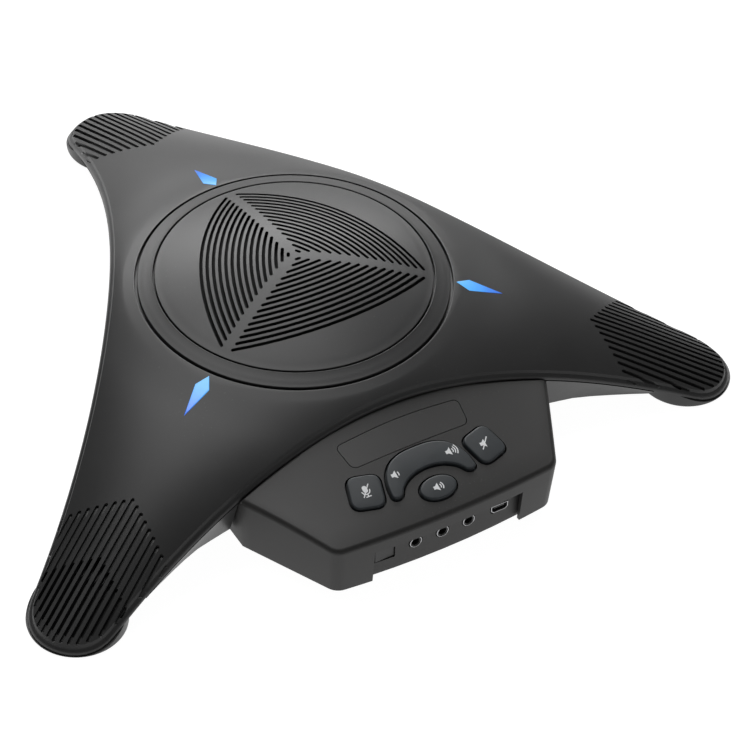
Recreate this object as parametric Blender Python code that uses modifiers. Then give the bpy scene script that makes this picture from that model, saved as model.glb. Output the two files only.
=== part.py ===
"""Conference speakerphone: a three-armed hands-free speaker with a key console at the front.

The object stands on three foot pads on z = 0. The speaker's axis is the reference of the plan: the arms
stand around it at 120 degrees, one to the back (+Y), and the console is at the front (-Y).
"""
import math

import bmesh
import bpy
import numpy as np

MM = 0.001

# Overall shape
OVERALL_HEIGHT = 65.0 * MM
MID_SIDE_RADIUS = 76.0 * MM          # axis to the middle of each hollow side
SIDE_ARC_RADIUS = 391.0 * MM         # radius of each hollow side
TIP_RADIUS = 19.2 * MM               # round end of an arm
ARM_ANGLES = {"back": 90.0, "left": 210.0, "right": 330.0}
ARM_SPACING = 120.0

# Top surface: a dome, then the arms' falling ridges with a crown across them
DOME_RADIUS = 84.5 * MM
DOME_DROP = 19.1 * MM
DOME_SLOPE = 0.294
RIDGE_END_RADIUS = 182.0 * MM
RIDGE_END_DROP = 59.9 * MM
RIDGE_END_SLOPE = 0.46
CROWN_START_RADIUS = 70.0 * MM
CROWN_END = 12.2                     # fall per metre squared across the arm at the ridge's end
CROWN_GROWTH = 1.3

# Shells
SHELL_WALL = 2.4 * MM
EDGE_ROUND = 2.2 * MM
LIP_HEIGHT = 0.2 * MM
BASE_WALL = 2.2 * MM
BASE_UNDERSIDE = 9.7 * MM
DRAFT_RATIO = 0.45
RIM_GAP = 0.6 * MM
TUB_END = 150.0 * MM                 # where the tub's arms stop, inside the pods
DRAFT_LIMIT = 6.0 * MM
FIT_GAP = 0.3 * MM

# Feet
POD_RADIUS = 20.1 * MM
POD_UNDERSIDE = 0.9 * MM
POD_ROUND = 0.6 * MM
POD_TOP = 13.6 * MM
PAD_RADIUS = 11.0 * MM
PAD_DEPTH = 0.9 * MM                 # part of the pad inside the pod
PAD_RADIAL_PLACE = 160.0 * MM

# Speaker opening
RING_OUTER_RADIUS = 64.6 * MM
RING_INNER_RADIUS = 58.0 * MM
GROOVE_WIDTH = 0.8 * MM
RING_HEIGHT = 2.4 * MM
RING_FLANGE_RADIUS = 54.2 * MM
LEDGE_WIDTH = 5.4 * MM
LEDGE_THICKNESS = 2.0 * MM
GRILLE_THICKNESS = 2.2 * MM
CLOTH_THICKNESS = 0.4 * MM

# Grille slots: concentric arcs in each sector between the three spokes
FAN_SLOTS = 15
FAN_CENTRE = 72.2 * MM               # arc centre, across the axis from the sector
FAN_FIRST = 2.6 * MM
FAN_PITCH = 2.54 * MM
FAN_SLOT_WIDTH = 1.4 * MM
SPOKE_HALF_WIDTH = 1.9 * MM
FAN_ARC_STEP = 12.0                  # degrees of arc in each straight piece, at most

# Slots in the arm ends
ARM_SLOTS_EACH_SIDE = 6
ARM_SLOT_PITCH = 3.0 * MM
ARM_SLOT_WIDTH = 1.5 * MM
ARM_SLOT_START = 147.0 * MM
ARM_SLOT_CHEVRON = 0.6
ARM_SLOT_MARGIN = 2.9 * MM

# Light pipes
KITE_INNER = 66.7 * MM
KITE_OUTER = 85.8 * MM
KITE_WIDEST = 72.0 * MM
KITE_HALF_WIDTH = 3.2 * MM
KITE_PROUD = 0.15 * MM
PIPE_LENGTH = 5.0 * MM
PIPE_GAP = 0.2 * MM
LED_BOARD_SIZE = (12.0 * MM, 10.0 * MM, 1.2 * MM)

# Microphones
MIC_RADIAL_PLACE = 138.0 * MM
MIC_BOOT_RADIUS = 5.0 * MM
MIC_BOOT_HEIGHT = 4.2 * MM
MIC_CAPSULE_RADIUS = 3.2 * MM
MIC_CAPSULE_HEIGHT = 2.7 * MM
MIC_BOOT_FLOOR = 0.9 * MM
LEAD_RADIUS = 0.6 * MM
LEAD_RUN_RADIUS = 57.0 * MM
LEAD_RUN_STEP = 3.0 * MM

# Loudspeaker
CHAMBER_RADIUS = 50.0 * MM
CHAMBER_WALL = 2.0 * MM
CHAMBER_TOP = 42.0 * MM
FLANGE_THICKNESS = 1.8 * MM
SURROUND_RADIUS = 42.0 * MM
CONE_RADIUS = 36.0 * MM
CONE_DEPTH = 12.0 * MM
CONE_THICKNESS = 0.8 * MM
COIL_RADIUS = 12.5 * MM
COIL_THICKNESS = 0.7 * MM
COIL_LENGTH = 9.0 * MM
COIL_AIR_GAP = 0.6 * MM
MAGNET_RADIUS = 26.0 * MM
MAGNET_HEIGHT = 6.0 * MM
PLATE_THICKNESS = 3.0 * MM
TURN_STEPS = 24

# Console
CONSOLE_REAR = 68.0 * MM             # hidden rear edge, from the speaker's axis
CONSOLE_SHOULDER_X = 71.3 * MM
CONSOLE_SHOULDER_Y = 83.3 * MM
CONSOLE_CORNER_X = 50.8 * MM
CONSOLE_CORNER_Y = 123.4 * MM
CONSOLE_CORNER_ROUND = 7.0 * MM
CONSOLE_CORNER_STEPS = 4
CONSOLE_FRONT_STEPS = 4
CONSOLE_BULGE = 3.3 * MM
CONSOLE_UNDERSIDE = 5.4 * MM
CONSOLE_DRAFT = 0.978                # plan scale of the underside
CONSOLE_EDGE_ROUND = 1.8 * MM
EDGE_SHARE = 1 - math.sqrt(0.5)      # where a quarter-round's middle lies
CONSOLE_WALL = 2.0 * MM
DECK_WALL = 2.2 * MM
DECK_SLOPE = 0.286
DECK_REAR_HEIGHT = 42.1 * MM         # deck's middle at the shoulder's place
DECK_CROWN_REAR = 2.0                # fall per metre squared across the deck
DECK_CROWN_FRONT = 0.6
CONSOLE_FLOOR_THICKNESS = 2.0 * MM
CONSOLE_CLEARANCE = 0.5 * MM

# Ports
RECESS_HALF_WIDTH = 34.1 * MM
RECESS_TOP = 22.4 * MM
PANEL_THICKNESS = 2.0 * MM
PANEL_MARGIN = 3.0 * MM
PANEL_TOP = 25.0 * MM
PORT_HEIGHT = 16.8 * MM
JACK_PLACES = (-14.2 * MM, -2.0 * MM, 10.2 * MM)
JACK_BODY = (6.4 * MM, 11.0 * MM, 5.0 * MM)
JACK_BARREL_RADIUS = 2.75 * MM
JACK_BORE_RADIUS = 1.8 * MM
JACK_BORE_DEPTH = 9.0 * MM
JACK_PROUD = 0.4 * MM
USB_PLACE = 25.0 * MM
USB_WIDTH = 7.9 * MM
USB_HEIGHT = 3.9 * MM
USB_LENGTH = 9.0 * MM
USB_WALL = 0.4 * MM
BLANK_PLACE = -27.8 * MM
BLANK_SIZE = (8.4 * MM, 7.8 * MM)
PORT_CLEARANCE = 0.4 * MM
BOARD_SIZE = (74.0 * MM, 32.0 * MM, 1.6 * MM)

# Keys, placed in the deck's own plane around its reference point
DECK_POINT_Y = 105.5 * MM
KEY_PROUD = 1.2 * MM
KEY_CLEARANCE = 0.5 * MM
KEY_CHAMFER = 0.5 * MM
KEY_FLANGE = 0.9 * MM
KEY_FLANGE_THICKNESS = 0.8 * MM
KEY_TRAVEL = 0.8 * MM
SIDE_KEY_PLACE = (27.3 * MM, 0.0)
SIDE_KEY_SIZE = (13.6 * MM, 14.6 * MM)
SIDE_KEY_ROUND = 4.0 * MM
SIDE_KEY_TURN = 16.0
TALK_KEY_PLACE = -10.4 * MM
TALK_KEY_SIZE = (7.9 * MM, 5.1 * MM)
ROCKER_OUTER = (19.0 * MM, 18.2 * MM)
ROCKER_INNER = (15.4 * MM, 11.2 * MM)
ROCKER_END_ANGLE = 12.0
KEY_BOARD_SIZE = (70.0 * MM, 26.0 * MM, 1.5 * MM)
SWITCH_SIZE = 6.0 * MM
SWITCH_HEIGHT = 3.4 * MM
SWITCH_BUTTON_RADIUS = 1.6 * MM
SWITCH_BUTTON_HEIGHT = 0.5 * MM
LABEL_REAR = 83.0 * MM
LABEL_FRONT = 94.4 * MM
LABEL_REAR_HALF_WIDTH = 28.2 * MM
LABEL_FRONT_HALF_WIDTH = 26.6 * MM
LABEL_ROUND = 3.0 * MM
LABEL_DEPTH = 0.9 * MM
LABEL_THICKNESS = 0.6 * MM
LABEL_REACH = 4.0 * MM               # past the deck's plane, more than its crown falls

# Fasteners and rating plate
SCREW_HEAD_RADIUS = 2.9 * MM
SCREW_HEAD_HEIGHT = 1.7 * MM
SCREW_SHANK_RADIUS = 1.4 * MM
SCREW_LENGTH = 9.0 * MM
ARM_SCREW_PLACE = (112.0 * MM, 9.0 * MM)   # along and across each arm
FLOOR_SCREW_PLACE = (46.0 * MM, 94.0 * MM)
RATING_PLATE_SIZE = (56.0 * MM, 30.0 * MM, 0.4 * MM)

SIDE_STEPS = 12
SIDE_CROWDING = 0.5                  # brings the points of a hollow side closer at its middle
TIP_STEPS = 7
ROOF_RINGS = 6

# Worked out from the driving dimensions
SIDE_ARC_PLACE = MID_SIDE_RADIUS + SIDE_ARC_RADIUS
_SIDE_X = SIDE_ARC_PLACE * math.cos(math.radians(ARM_SPACING / 2))
_SIDE_Y = SIDE_ARC_PLACE * math.sin(math.radians(ARM_SPACING / 2))
TIP_PLACE = _SIDE_X - math.sqrt((SIDE_ARC_RADIUS + TIP_RADIUS) ** 2 - _SIDE_Y ** 2)
TIP_HALF_ANGLE = math.atan2(_SIDE_Y, _SIDE_X - TIP_PLACE)
CONSOLE_FRONT = CONSOLE_CORNER_Y + CONSOLE_BULGE
FRONT_ARC_RADIUS = (CONSOLE_CORNER_X ** 2 + CONSOLE_BULGE ** 2) / (2 * CONSOLE_BULGE)
AXIS_Y = (CONSOLE_FRONT - TIP_PLACE - POD_RADIUS) / 2   # puts the middle of the depth on y = 0
DECK_TILT = math.atan(DECK_SLOPE)
HOLE_RADIUS = RING_OUTER_RADIUS + GROOVE_WIDTH
GRILLE_RADIUS = RING_INNER_RADIUS - GROOVE_WIDTH
PANEL_SETBACK = CONSOLE_WALL + FIT_GAP + (1 - CONSOLE_DRAFT) * (CONSOLE_FRONT - CONSOLE_REAR)
BASE_FLOOR = BASE_UNDERSIDE + BASE_WALL
CONSOLE_FLOOR_TOP = CONSOLE_UNDERSIDE + CONSOLE_FLOOR_THICKNESS
KEY_FLANGE_TOP = -DECK_WALL - 4 * FIT_GAP
KEY_BOTTOM = KEY_FLANGE_TOP - KEY_FLANGE_THICKNESS
SWITCH_TOP = KEY_BOTTOM - KEY_TRAVEL - FIT_GAP
BOARD_TOP = PORT_HEIGHT - JACK_BODY[2] / 2 - FIT_GAP

COLOURS = {
    "shell plastic": ((0.035, 0.035, 0.037, 1.0), 0.42, 0.0),
    "console plastic": ((0.045, 0.043, 0.043, 1.0), 0.5, 0.0),
    "key rubber": ((0.06, 0.075, 0.09, 1.0), 0.55, 0.0),
    "foot rubber": ((0.02, 0.02, 0.02, 1.0), 0.8, 0.0),
    "light lens": ((0.05, 0.25, 0.9, 1.0), 0.2, 0.0),
    "plated metal": ((0.75, 0.75, 0.77, 1.0), 0.25, 1.0),
    "steel": ((0.45, 0.45, 0.47, 1.0), 0.4, 1.0),
    "magnet": ((0.05, 0.05, 0.055, 1.0), 0.6, 0.0),
    "cloth": ((0.01, 0.01, 0.01, 1.0), 0.95, 0.0),
    "paper cone": ((0.03, 0.03, 0.03, 1.0), 0.85, 0.0),
    "circuit board": ((0.02, 0.16, 0.06, 1.0), 0.45, 0.0),
    "switch plastic": ((0.02, 0.02, 0.022, 1.0), 0.5, 0.0),
    "label film": ((0.04, 0.04, 0.042, 1.0), 0.35, 0.0),
    "wire insulation": ((0.03, 0.03, 0.03, 1.0), 0.5, 0.0),
}


def clear_scene():
    for item in list(bpy.data.objects):
        bpy.data.objects.remove(item, do_unlink=True)


def new_collection(name):
    collection = bpy.data.collections.new(name)
    bpy.context.scene.collection.children.link(collection)
    return collection


def make_material(name):
    colour, roughness, metallic = COLOURS[name]
    material = bpy.data.materials.new(name)
    material.use_nodes = True
    shader = material.node_tree.nodes["Principled BSDF"]
    shader.inputs["Base Color"].default_value = colour
    shader.inputs["Roughness"].default_value = roughness
    shader.inputs["Metallic"].default_value = metallic
    return material


def add_mesh(name, mesh, material=None, parent=None, place=(0, 0, 0), turn=(0, 0, 0)):
    """Put a mesh in the scene, as a part when it has a material and as a cutter when it has none."""
    item = bpy.data.objects.new(name, mesh)
    item.location = place
    item.rotation_euler = turn
    item.parent = parent
    if material is None:
        CUTTERS.objects.link(item)
        item.hide_render = True
        item.display_type = "WIRE"
    else:
        mesh.materials.append(MATERIALS[material])
        PARTS.objects.link(item)
    return item


def add_empty(name, place=(0, 0, 0), turn=(0, 0, 0), parent=None):
    frame = bpy.data.objects.new(name, None)
    frame.location = place
    frame.rotation_euler = turn
    frame.parent = parent
    PARTS.objects.link(frame)
    return frame


def flat_mesh(name, outline, low, high):
    """A flat outline between two heights, from a filled 2D curve."""
    curve = bpy.data.curves.new(name, "CURVE")
    curve.dimensions = "2D"
    curve.fill_mode = "BOTH"
    curve.extrude = (high - low) / 2
    spline = curve.splines.new("POLY")
    spline.points.add(len(outline) - 1)
    for point, (x, y) in zip(spline.points, outline):
        point.co = (x, y, 0, 1)
    spline.use_cyclic_u = True
    holder = bpy.data.objects.new(name, curve)
    WORKBENCH.collection.objects.link(holder)
    layer = WORKBENCH.view_layers[0]
    layer.update()
    mesh = bpy.data.meshes.new_from_object(holder.evaluated_get(layer.depsgraph))
    bpy.data.objects.remove(holder, do_unlink=True)
    shape = bmesh.new()
    shape.from_mesh(mesh)
    bmesh.ops.remove_doubles(shape, verts=shape.verts, dist=1e-6)
    bmesh.ops.translate(shape, verts=shape.verts, vec=(0, 0, (low + high) / 2))
    bmesh.ops.recalc_face_normals(shape, faces=shape.faces)
    shape.to_mesh(mesh)
    shape.free()
    return mesh


def box_mesh(name, size, centre=(0, 0, 0)):
    shape = bmesh.new()
    bmesh.ops.create_cube(shape, size=1.0)
    bmesh.ops.scale(shape, verts=shape.verts, vec=size)
    bmesh.ops.translate(shape, verts=shape.verts, vec=centre)
    mesh = bpy.data.meshes.new(name)
    shape.to_mesh(mesh)
    shape.free()
    return mesh


def cylinder_mesh(name, radius, low, high, steps=24):
    shape = bmesh.new()
    bmesh.ops.create_cone(shape, cap_ends=True, segments=steps, radius1=radius, radius2=radius,
                          depth=high - low)
    bmesh.ops.translate(shape, verts=shape.verts, vec=(0, 0, (low + high) / 2))
    mesh = bpy.data.meshes.new(name)
    shape.to_mesh(mesh)
    shape.free()
    return mesh


def add_turned(name, profile, material=None, parent=None, place=(0, 0, 0), steps=TURN_STEPS):
    """Turn a profile of (radius, height) points, listed down its outer side, about its Z axis."""
    points = [(radius, 0, height) for radius, height in profile]
    edges = [(i, i + 1) for i in range(len(points) - 1)]
    if profile[0][0] > 0:
        edges.append((len(points) - 1, 0))
    mesh = bpy.data.meshes.new(name)
    mesh.from_pydata(points, edges, [])
    item = add_mesh(name, mesh, material, parent, place)
    screw = item.modifiers.new("turn", "SCREW")
    screw.steps = steps
    screw.render_steps = steps
    screw.use_merge_vertices = True
    screw.merge_threshold = 1e-6
    return item


def loft_mesh(name, loops, ring=False):
    """Faces between loops of equal length; the last loop meets the first, or both ends are capped."""
    count = len(loops[0])
    points = [tuple(point) for loop in loops for point in loop]
    pairs = [(i, i + 1) for i in range(len(loops) - 1)]
    if ring:
        pairs.append((len(loops) - 1, 0))
    faces = []
    for low, high in pairs:
        for j in range(count):
            k = (j + 1) % count
            faces.append((low * count + j, low * count + k, high * count + k, high * count + j))
    if not ring:
        faces.append(tuple(range(count)))
        faces.append(tuple(range((len(loops) - 1) * count, len(loops) * count)))
    mesh = bpy.data.meshes.new(name)
    mesh.from_pydata(points, [], faces)
    shape = bmesh.new()
    shape.from_mesh(mesh)
    bmesh.ops.recalc_face_normals(shape, faces=shape.faces)
    shape.to_mesh(mesh)
    shape.free()
    return mesh


def combine(item, other, operation="DIFFERENCE"):
    modifier = item.modifiers.new(operation.lower(), "BOOLEAN")
    modifier.operation = operation
    modifier.object = other


def combine_all(item, name, cutters, operation="DIFFERENCE"):
    """Apply one Boolean with every cutter of a set."""
    group = bpy.data.collections.new(name)
    CUTTERS.children.link(group)
    for cutter in cutters:
        CUTTERS.objects.unlink(cutter)
        group.objects.link(cutter)
    modifier = item.modifiers.new(name, "BOOLEAN")
    modifier.operation = operation
    modifier.operand_type = "COLLECTION"
    modifier.collection = group


def smooth(item, angle=35.0):
    item.data.shade_smooth()
    item.data.set_sharp_from_angle(angle=math.radians(angle))


def polar(radius, degrees):
    return radius * math.cos(math.radians(degrees)), radius * math.sin(math.radians(degrees))


def arm_point(along, across, degrees):
    """Plan place of a point given along and across an arm."""
    c, s = polar(1.0, degrees)
    return along * c - across * s, along * s + across * c


# ---------------------------------------------------------------- body surfaces

def ridge_drop(radius):
    """Fall of the top surface below its highest point, along an arm's middle."""
    if radius <= DOME_RADIUS:
        square = (4 * DOME_DROP - DOME_RADIUS * DOME_SLOPE) / (2 * DOME_RADIUS ** 2)
        fourth = (DOME_RADIUS * DOME_SLOPE - 2 * DOME_DROP) / (2 * DOME_RADIUS ** 4)
        return square * radius ** 2 + fourth * radius ** 4
    span = RIDGE_END_RADIUS - DOME_RADIUS
    t = (radius - DOME_RADIUS) / span
    start = (2 * t ** 3 - 3 * t ** 2 + 1) * DOME_DROP + (t ** 3 - 2 * t ** 2 + t) * span * DOME_SLOPE
    end = (3 * t ** 2 - 2 * t ** 3) * RIDGE_END_DROP + (t ** 3 - t ** 2) * span * RIDGE_END_SLOPE
    return start + end


def top_height(x, y):
    """Height of the top surface over a plan point."""
    radius = math.hypot(x, y)
    degrees = math.degrees(math.atan2(y, x))
    turn = (degrees - ARM_ANGLES["back"] + ARM_SPACING / 2) % ARM_SPACING - ARM_SPACING / 2
    across = radius * math.sin(math.radians(turn))
    reach = max(0.0, (radius - CROWN_START_RADIUS) / (RIDGE_END_RADIUS - CROWN_START_RADIUS))
    return OVERALL_HEIGHT - ridge_drop(radius) - CROWN_END * reach ** CROWN_GROWTH * across ** 2


def side_shares():
    """Shares of a hollow side's arc at its points, closest together at the middle."""
    return [i / SIDE_STEPS + SIDE_CROWDING * math.sin(math.tau * i / SIDE_STEPS) / math.tau
            for i in range(SIDE_STEPS + 1)]


def star_outline(inset=0.0):
    """Plan outline of the body, moved inwards by a distance: three round tips and three hollow sides."""
    points = []
    for degrees in ARM_ANGLES.values():
        tip_x, tip_y = polar(TIP_PLACE, degrees)
        for i in range(TIP_STEPS + 1):
            angle = degrees + math.degrees(TIP_HALF_ANGLE) * (2 * i / TIP_STEPS - 1)
            dx, dy = polar(TIP_RADIUS - inset, angle)
            points.append((tip_x + dx, tip_y + dy))
        side_x, side_y = polar(SIDE_ARC_PLACE, degrees + ARM_SPACING / 2)
        first = degrees + math.degrees(TIP_HALF_ANGLE) + 180
        last = degrees + ARM_SPACING - math.degrees(TIP_HALF_ANGLE) + 180
        for share in side_shares()[1:-1]:
            dx, dy = polar(SIDE_ARC_RADIUS + inset, first + (last - first) * share)
            points.append((side_x + dx, side_y + dy))
    return points


def parting_heights():
    """Height of the line where the shells meet, at each point of the outline."""
    return [top_height(x, y) - EDGE_ROUND - LIP_HEIGHT for x, y in star_outline()]


def circle_loop(radius, height):
    """A level circle with one point in the direction of each outline point."""
    return [(*polar(radius, math.degrees(math.atan2(y, x))), height) for x, y in star_outline()]


def roof_loops(inner_radius, inset, drop, rings=ROOF_RINGS):
    """Loops over the top surface, lowered by a drop, from a circle out to the inset outline."""
    loops = []
    for i in range(rings + 1):
        share = i / rings
        loop = []
        for x, y in star_outline(inset):
            radius = math.hypot(x, y)
            scale = (inner_radius + (radius - inner_radius) * share) / radius
            loop.append((x * scale, y * scale, top_height(x * scale, y * scale) - drop))
        loops.append(loop)
    return loops


def edge_loop(inset, heights):
    return [(x, y, z) for (x, y), z in zip(star_outline(inset), heights)]


def rounded_edge_loops():
    """Quarter-round from the top surface to the upright lip."""
    tops = [top_height(x, y) for x, y in star_outline()]
    loops = []
    for degrees in (45.0, 90.0):
        inset = EDGE_ROUND * (1 - math.sin(math.radians(degrees)))
        fall = EDGE_ROUND * (1 - math.cos(math.radians(degrees)))
        loops.append(edge_loop(inset, [top - fall for top in tops]))
    return loops


def build_top_shell(frame):
    """Three-armed cover: a ring-shaped skin with a stepped hole for the speaker and a lip all round."""
    parting = parting_heights()
    ledge_top = top_height(RING_OUTER_RADIUS, 0) - RING_HEIGHT - FIT_GAP
    ledge_inner = HOLE_RADIUS - LEDGE_WIDTH
    roof_start = HOLE_RADIUS + SHELL_WALL
    loops = roof_loops(HOLE_RADIUS, EDGE_ROUND, 0.0)
    loops += rounded_edge_loops()
    loops += [edge_loop(0.0, parting), edge_loop(SHELL_WALL, parting)]
    loops += reversed(roof_loops(roof_start, SHELL_WALL, SHELL_WALL))
    loops += [circle_loop(roof_start, ledge_top - LEDGE_THICKNESS),
              circle_loop(ledge_inner, ledge_top - LEDGE_THICKNESS),
              circle_loop(ledge_inner, ledge_top), circle_loop(HOLE_RADIUS, ledge_top)]
    shell = add_mesh("top_shell", loft_mesh("top_shell", loops, ring=True), "shell plastic", frame)
    combine_all(shell, "top shell openings", arm_slot_cutters(frame) + kite_cutters(frame))
    smooth(shell)


def arm_slot_cutters(frame):
    """Upright slots along each arm's end, open through the cover."""
    cutters = []
    for arm, degrees in ARM_ANGLES.items():
        for i in range(-ARM_SLOTS_EACH_SIDE, ARM_SLOTS_EACH_SIDE + 1):
            across = i * ARM_SLOT_PITCH
            start = ARM_SLOT_START + ARM_SLOT_CHEVRON * abs(across)
            reach = TIP_RADIUS - ARM_SLOT_MARGIN
            if abs(across) >= reach:
                continue
            end = TIP_PLACE + math.sqrt(reach ** 2 - across ** 2)
            middle = arm_point((start + end) / 2, across, degrees)
            mesh = box_mesh(f"slot_{arm}_{i}", (end - start, ARM_SLOT_WIDTH, OVERALL_HEIGHT / 2))
            place = (*middle, OVERALL_HEIGHT / 4 - 2 * SHELL_WALL)
            cutters.append(add_mesh(f"slot_{arm}_{i}", mesh, None, frame, place,
                                    (0, 0, math.radians(degrees))))
    return cutters


def kite_outline(grow):
    """Plan of a light pipe along an arm, its edges moved outwards by a distance."""
    slope_in = math.atan2(KITE_HALF_WIDTH, KITE_WIDEST - KITE_INNER)
    slope_out = math.atan2(KITE_HALF_WIDTH, KITE_OUTER - KITE_WIDEST)
    inner = KITE_INNER - grow / math.sin(slope_in)
    outer = KITE_OUTER + grow / math.sin(slope_out)
    widest = (inner * math.tan(slope_in) + outer * math.tan(slope_out)) \
        / (math.tan(slope_in) + math.tan(slope_out))
    half = (widest - inner) * math.tan(slope_in)
    return [(inner, 0), (widest, -half), (outer, 0), (widest, half)]


def kite_cutters(frame):
    cutters = []
    for arm, degrees in ARM_ANGLES.items():
        mesh = flat_mesh(f"kite_{arm}", kite_outline(PIPE_GAP), OVERALL_HEIGHT / 2, OVERALL_HEIGHT)
        cutters.append(add_mesh(f"kite_{arm}", mesh, None, frame, turn=(0, 0, math.radians(degrees))))
    return cutters


def tub_loop(insets, heights):
    """Hollow sides cut off across each arm; every point has its own distance inwards and height."""
    places = []
    for degrees in ARM_ANGLES.values():
        for share in side_shares():
            inset = insets[len(places)]
            radius = SIDE_ARC_RADIUS + inset
            first = 360 - math.degrees(math.acos((TUB_END - inset - _SIDE_X) / radius))
            last = 360 + ARM_SPACING - first
            x, y = polar(radius, first + (last - first) * share)
            places.append(arm_point(_SIDE_X + x, _SIDE_Y + y, degrees))
    return [(x, y, z) for (x, y), z in zip(places, heights)]


def build_base_shell(frame):
    """Drafted tub with a round pod under each arm end, closed above by the cover."""
    count = len(ARM_ANGLES) * (SIDE_STEPS + 1)
    outline = tub_loop([0.0] * count, [0.0] * count)
    rim = [top_height(x, y) - EDGE_ROUND - LIP_HEIGHT - RIM_GAP for x, y, _ in outline]
    draft = [min(DRAFT_RATIO * (z - BASE_UNDERSIDE), DRAFT_LIMIT) for z in rim]
    loops = [tub_loop(draft, [BASE_UNDERSIDE] * count), tub_loop([0.0] * count, rim),
             tub_loop([BASE_WALL] * count, rim),
             tub_loop([distance + BASE_WALL for distance in draft], [BASE_FLOOR] * count)]
    base = add_mesh("base_shell", loft_mesh("base_shell", loops), "shell plastic", frame)
    cover_space = add_mesh("cover_space", cover_space_mesh(2 * (POD_RADIUS - TIP_RADIUS)), None, frame)
    for arm, degrees in ARM_ANGLES.items():
        place = (*polar(TIP_PLACE, degrees), 0)
        profile = [(0, POD_TOP), (POD_RADIUS, POD_TOP), (POD_RADIUS, POD_UNDERSIDE + POD_ROUND),
                   (POD_RADIUS - POD_ROUND, POD_UNDERSIDE), (0, POD_UNDERSIDE)]
        pod = add_turned(f"pod_{arm}", profile, None, frame, place, steps=48)
        combine(pod, cover_space)
        combine(base, pod, "UNION")
    plan = console_plan(-CONSOLE_CLEARANCE)
    rear = -CONSOLE_REAR + CONSOLE_CLEARANCE
    plan += [(plan[-1][0], rear), (plan[0][0], rear)]
    space = flat_mesh("console_space", plan, CONSOLE_UNDERSIDE - CONSOLE_CLEARANCE, OVERALL_HEIGHT)
    combine(base, add_mesh("console_space", space, None, frame))
    cutters = []
    for arm, degrees in ARM_ANGLES.items():
        place = (*polar(PAD_RADIAL_PLACE, degrees), 0)
        recess = cylinder_mesh(f"pad_recess_{arm}", PAD_RADIUS + FIT_GAP, -PAD_DEPTH,
                               POD_UNDERSIDE + PAD_DEPTH)
        cutters.append(add_mesh(f"pad_recess_{arm}", recess, None, frame, place))
        place = (*arm_point(*ARM_SCREW_PLACE, degrees), BASE_UNDERSIDE)
        cutters.append(add_mesh(f"screw_hole_{arm}", screw_hole_mesh(f"screw_hole_{arm}"), None, frame, place))
    combine_all(base, "underside openings", cutters)
    smooth(base)


def cover_space_mesh(outset):
    """The cover and everything over it, with its fit gap, out to a distance from its outline."""
    parting = [z - FIT_GAP for z in parting_heights()]
    loops = roof_loops(HOLE_RADIUS, SHELL_WALL + FIT_GAP, SHELL_WALL + FIT_GAP)
    loops += [edge_loop(SHELL_WALL + FIT_GAP, parting), edge_loop(-outset, parting),
              edge_loop(-outset, [OVERALL_HEIGHT * 2] * len(parting))]
    return loft_mesh("cover_space", loops)


def screw_hole_mesh(name):
    """Clearance for a screw and its sunk head, upwards from the underside."""
    profile = [(0, SCREW_LENGTH), (SCREW_SHANK_RADIUS + FIT_GAP, SCREW_LENGTH),
               (SCREW_SHANK_RADIUS + FIT_GAP, SCREW_HEAD_HEIGHT - FIT_GAP),
               (SCREW_HEAD_RADIUS + FIT_GAP, SCREW_HEAD_HEIGHT - FIT_GAP), (SCREW_HEAD_RADIUS + FIT_GAP, -1 * MM),
               (0, -1 * MM)]
    shape = bmesh.new()
    ring = [shape.verts.new((radius, 0, height)) for radius, height in profile]
    edges = [shape.edges.new(pair) for pair in zip(ring, ring[1:])]
    bmesh.ops.spin(shape, geom=ring + edges, axis=(0, 0, 1), cent=(0, 0, 0), steps=16, angle=math.tau)
    bmesh.ops.remove_doubles(shape, verts=shape.verts, dist=1e-6)
    bmesh.ops.recalc_face_normals(shape, faces=shape.faces)
    mesh = bpy.data.meshes.new(name)
    shape.to_mesh(mesh)
    shape.free()
    return mesh


# ---------------------------------------------------------------- speaker opening

def dome_points(inner, outer, drop, steps):
    """Profile points on the dome, from an outer radius in to an inner one."""
    radii = [outer + (inner - outer) * i / steps for i in range(steps + 1)]
    return [(radius, top_height(radius, 0) - drop) for radius in radii]


def build_speaker_opening(frame):
    ring_bottom = top_height(RING_OUTER_RADIUS, 0) - RING_HEIGHT
    flange_top = top_height(GRILLE_RADIUS, 0) - GRILLE_THICKNESS - FIT_GAP
    profile = [(RING_OUTER_RADIUS, ring_bottom), (RING_FLANGE_RADIUS, ring_bottom),
               (RING_FLANGE_RADIUS, flange_top), (RING_INNER_RADIUS, flange_top)]
    profile += reversed(dome_points(RING_INNER_RADIUS, RING_OUTER_RADIUS, 0.0, 2))
    smooth(add_turned("speaker_ring", profile, "shell plastic", frame, steps=64))

    top = list(reversed(dome_points(0.0, GRILLE_RADIUS, 0.0, 2)))
    underside = dome_points(0.0, GRILLE_RADIUS, GRILLE_THICKNESS, 2)
    grille = add_turned("speaker_grille", top + underside, "shell plastic", frame, steps=24)
    combine_all(grille, "fan slots", fan_slot_cutters(frame))
    smooth(grille)

    cloth_radius = RING_FLANGE_RADIUS - FIT_GAP
    cloth_drop = GRILLE_THICKNESS + 2 * FIT_GAP
    top = list(reversed(dome_points(0.0, cloth_radius, cloth_drop, 2)))
    underside = dome_points(0.0, cloth_radius, cloth_drop + CLOTH_THICKNESS, 2)
    smooth(add_turned("grille_cloth", top + underside, "cloth", frame))


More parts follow.
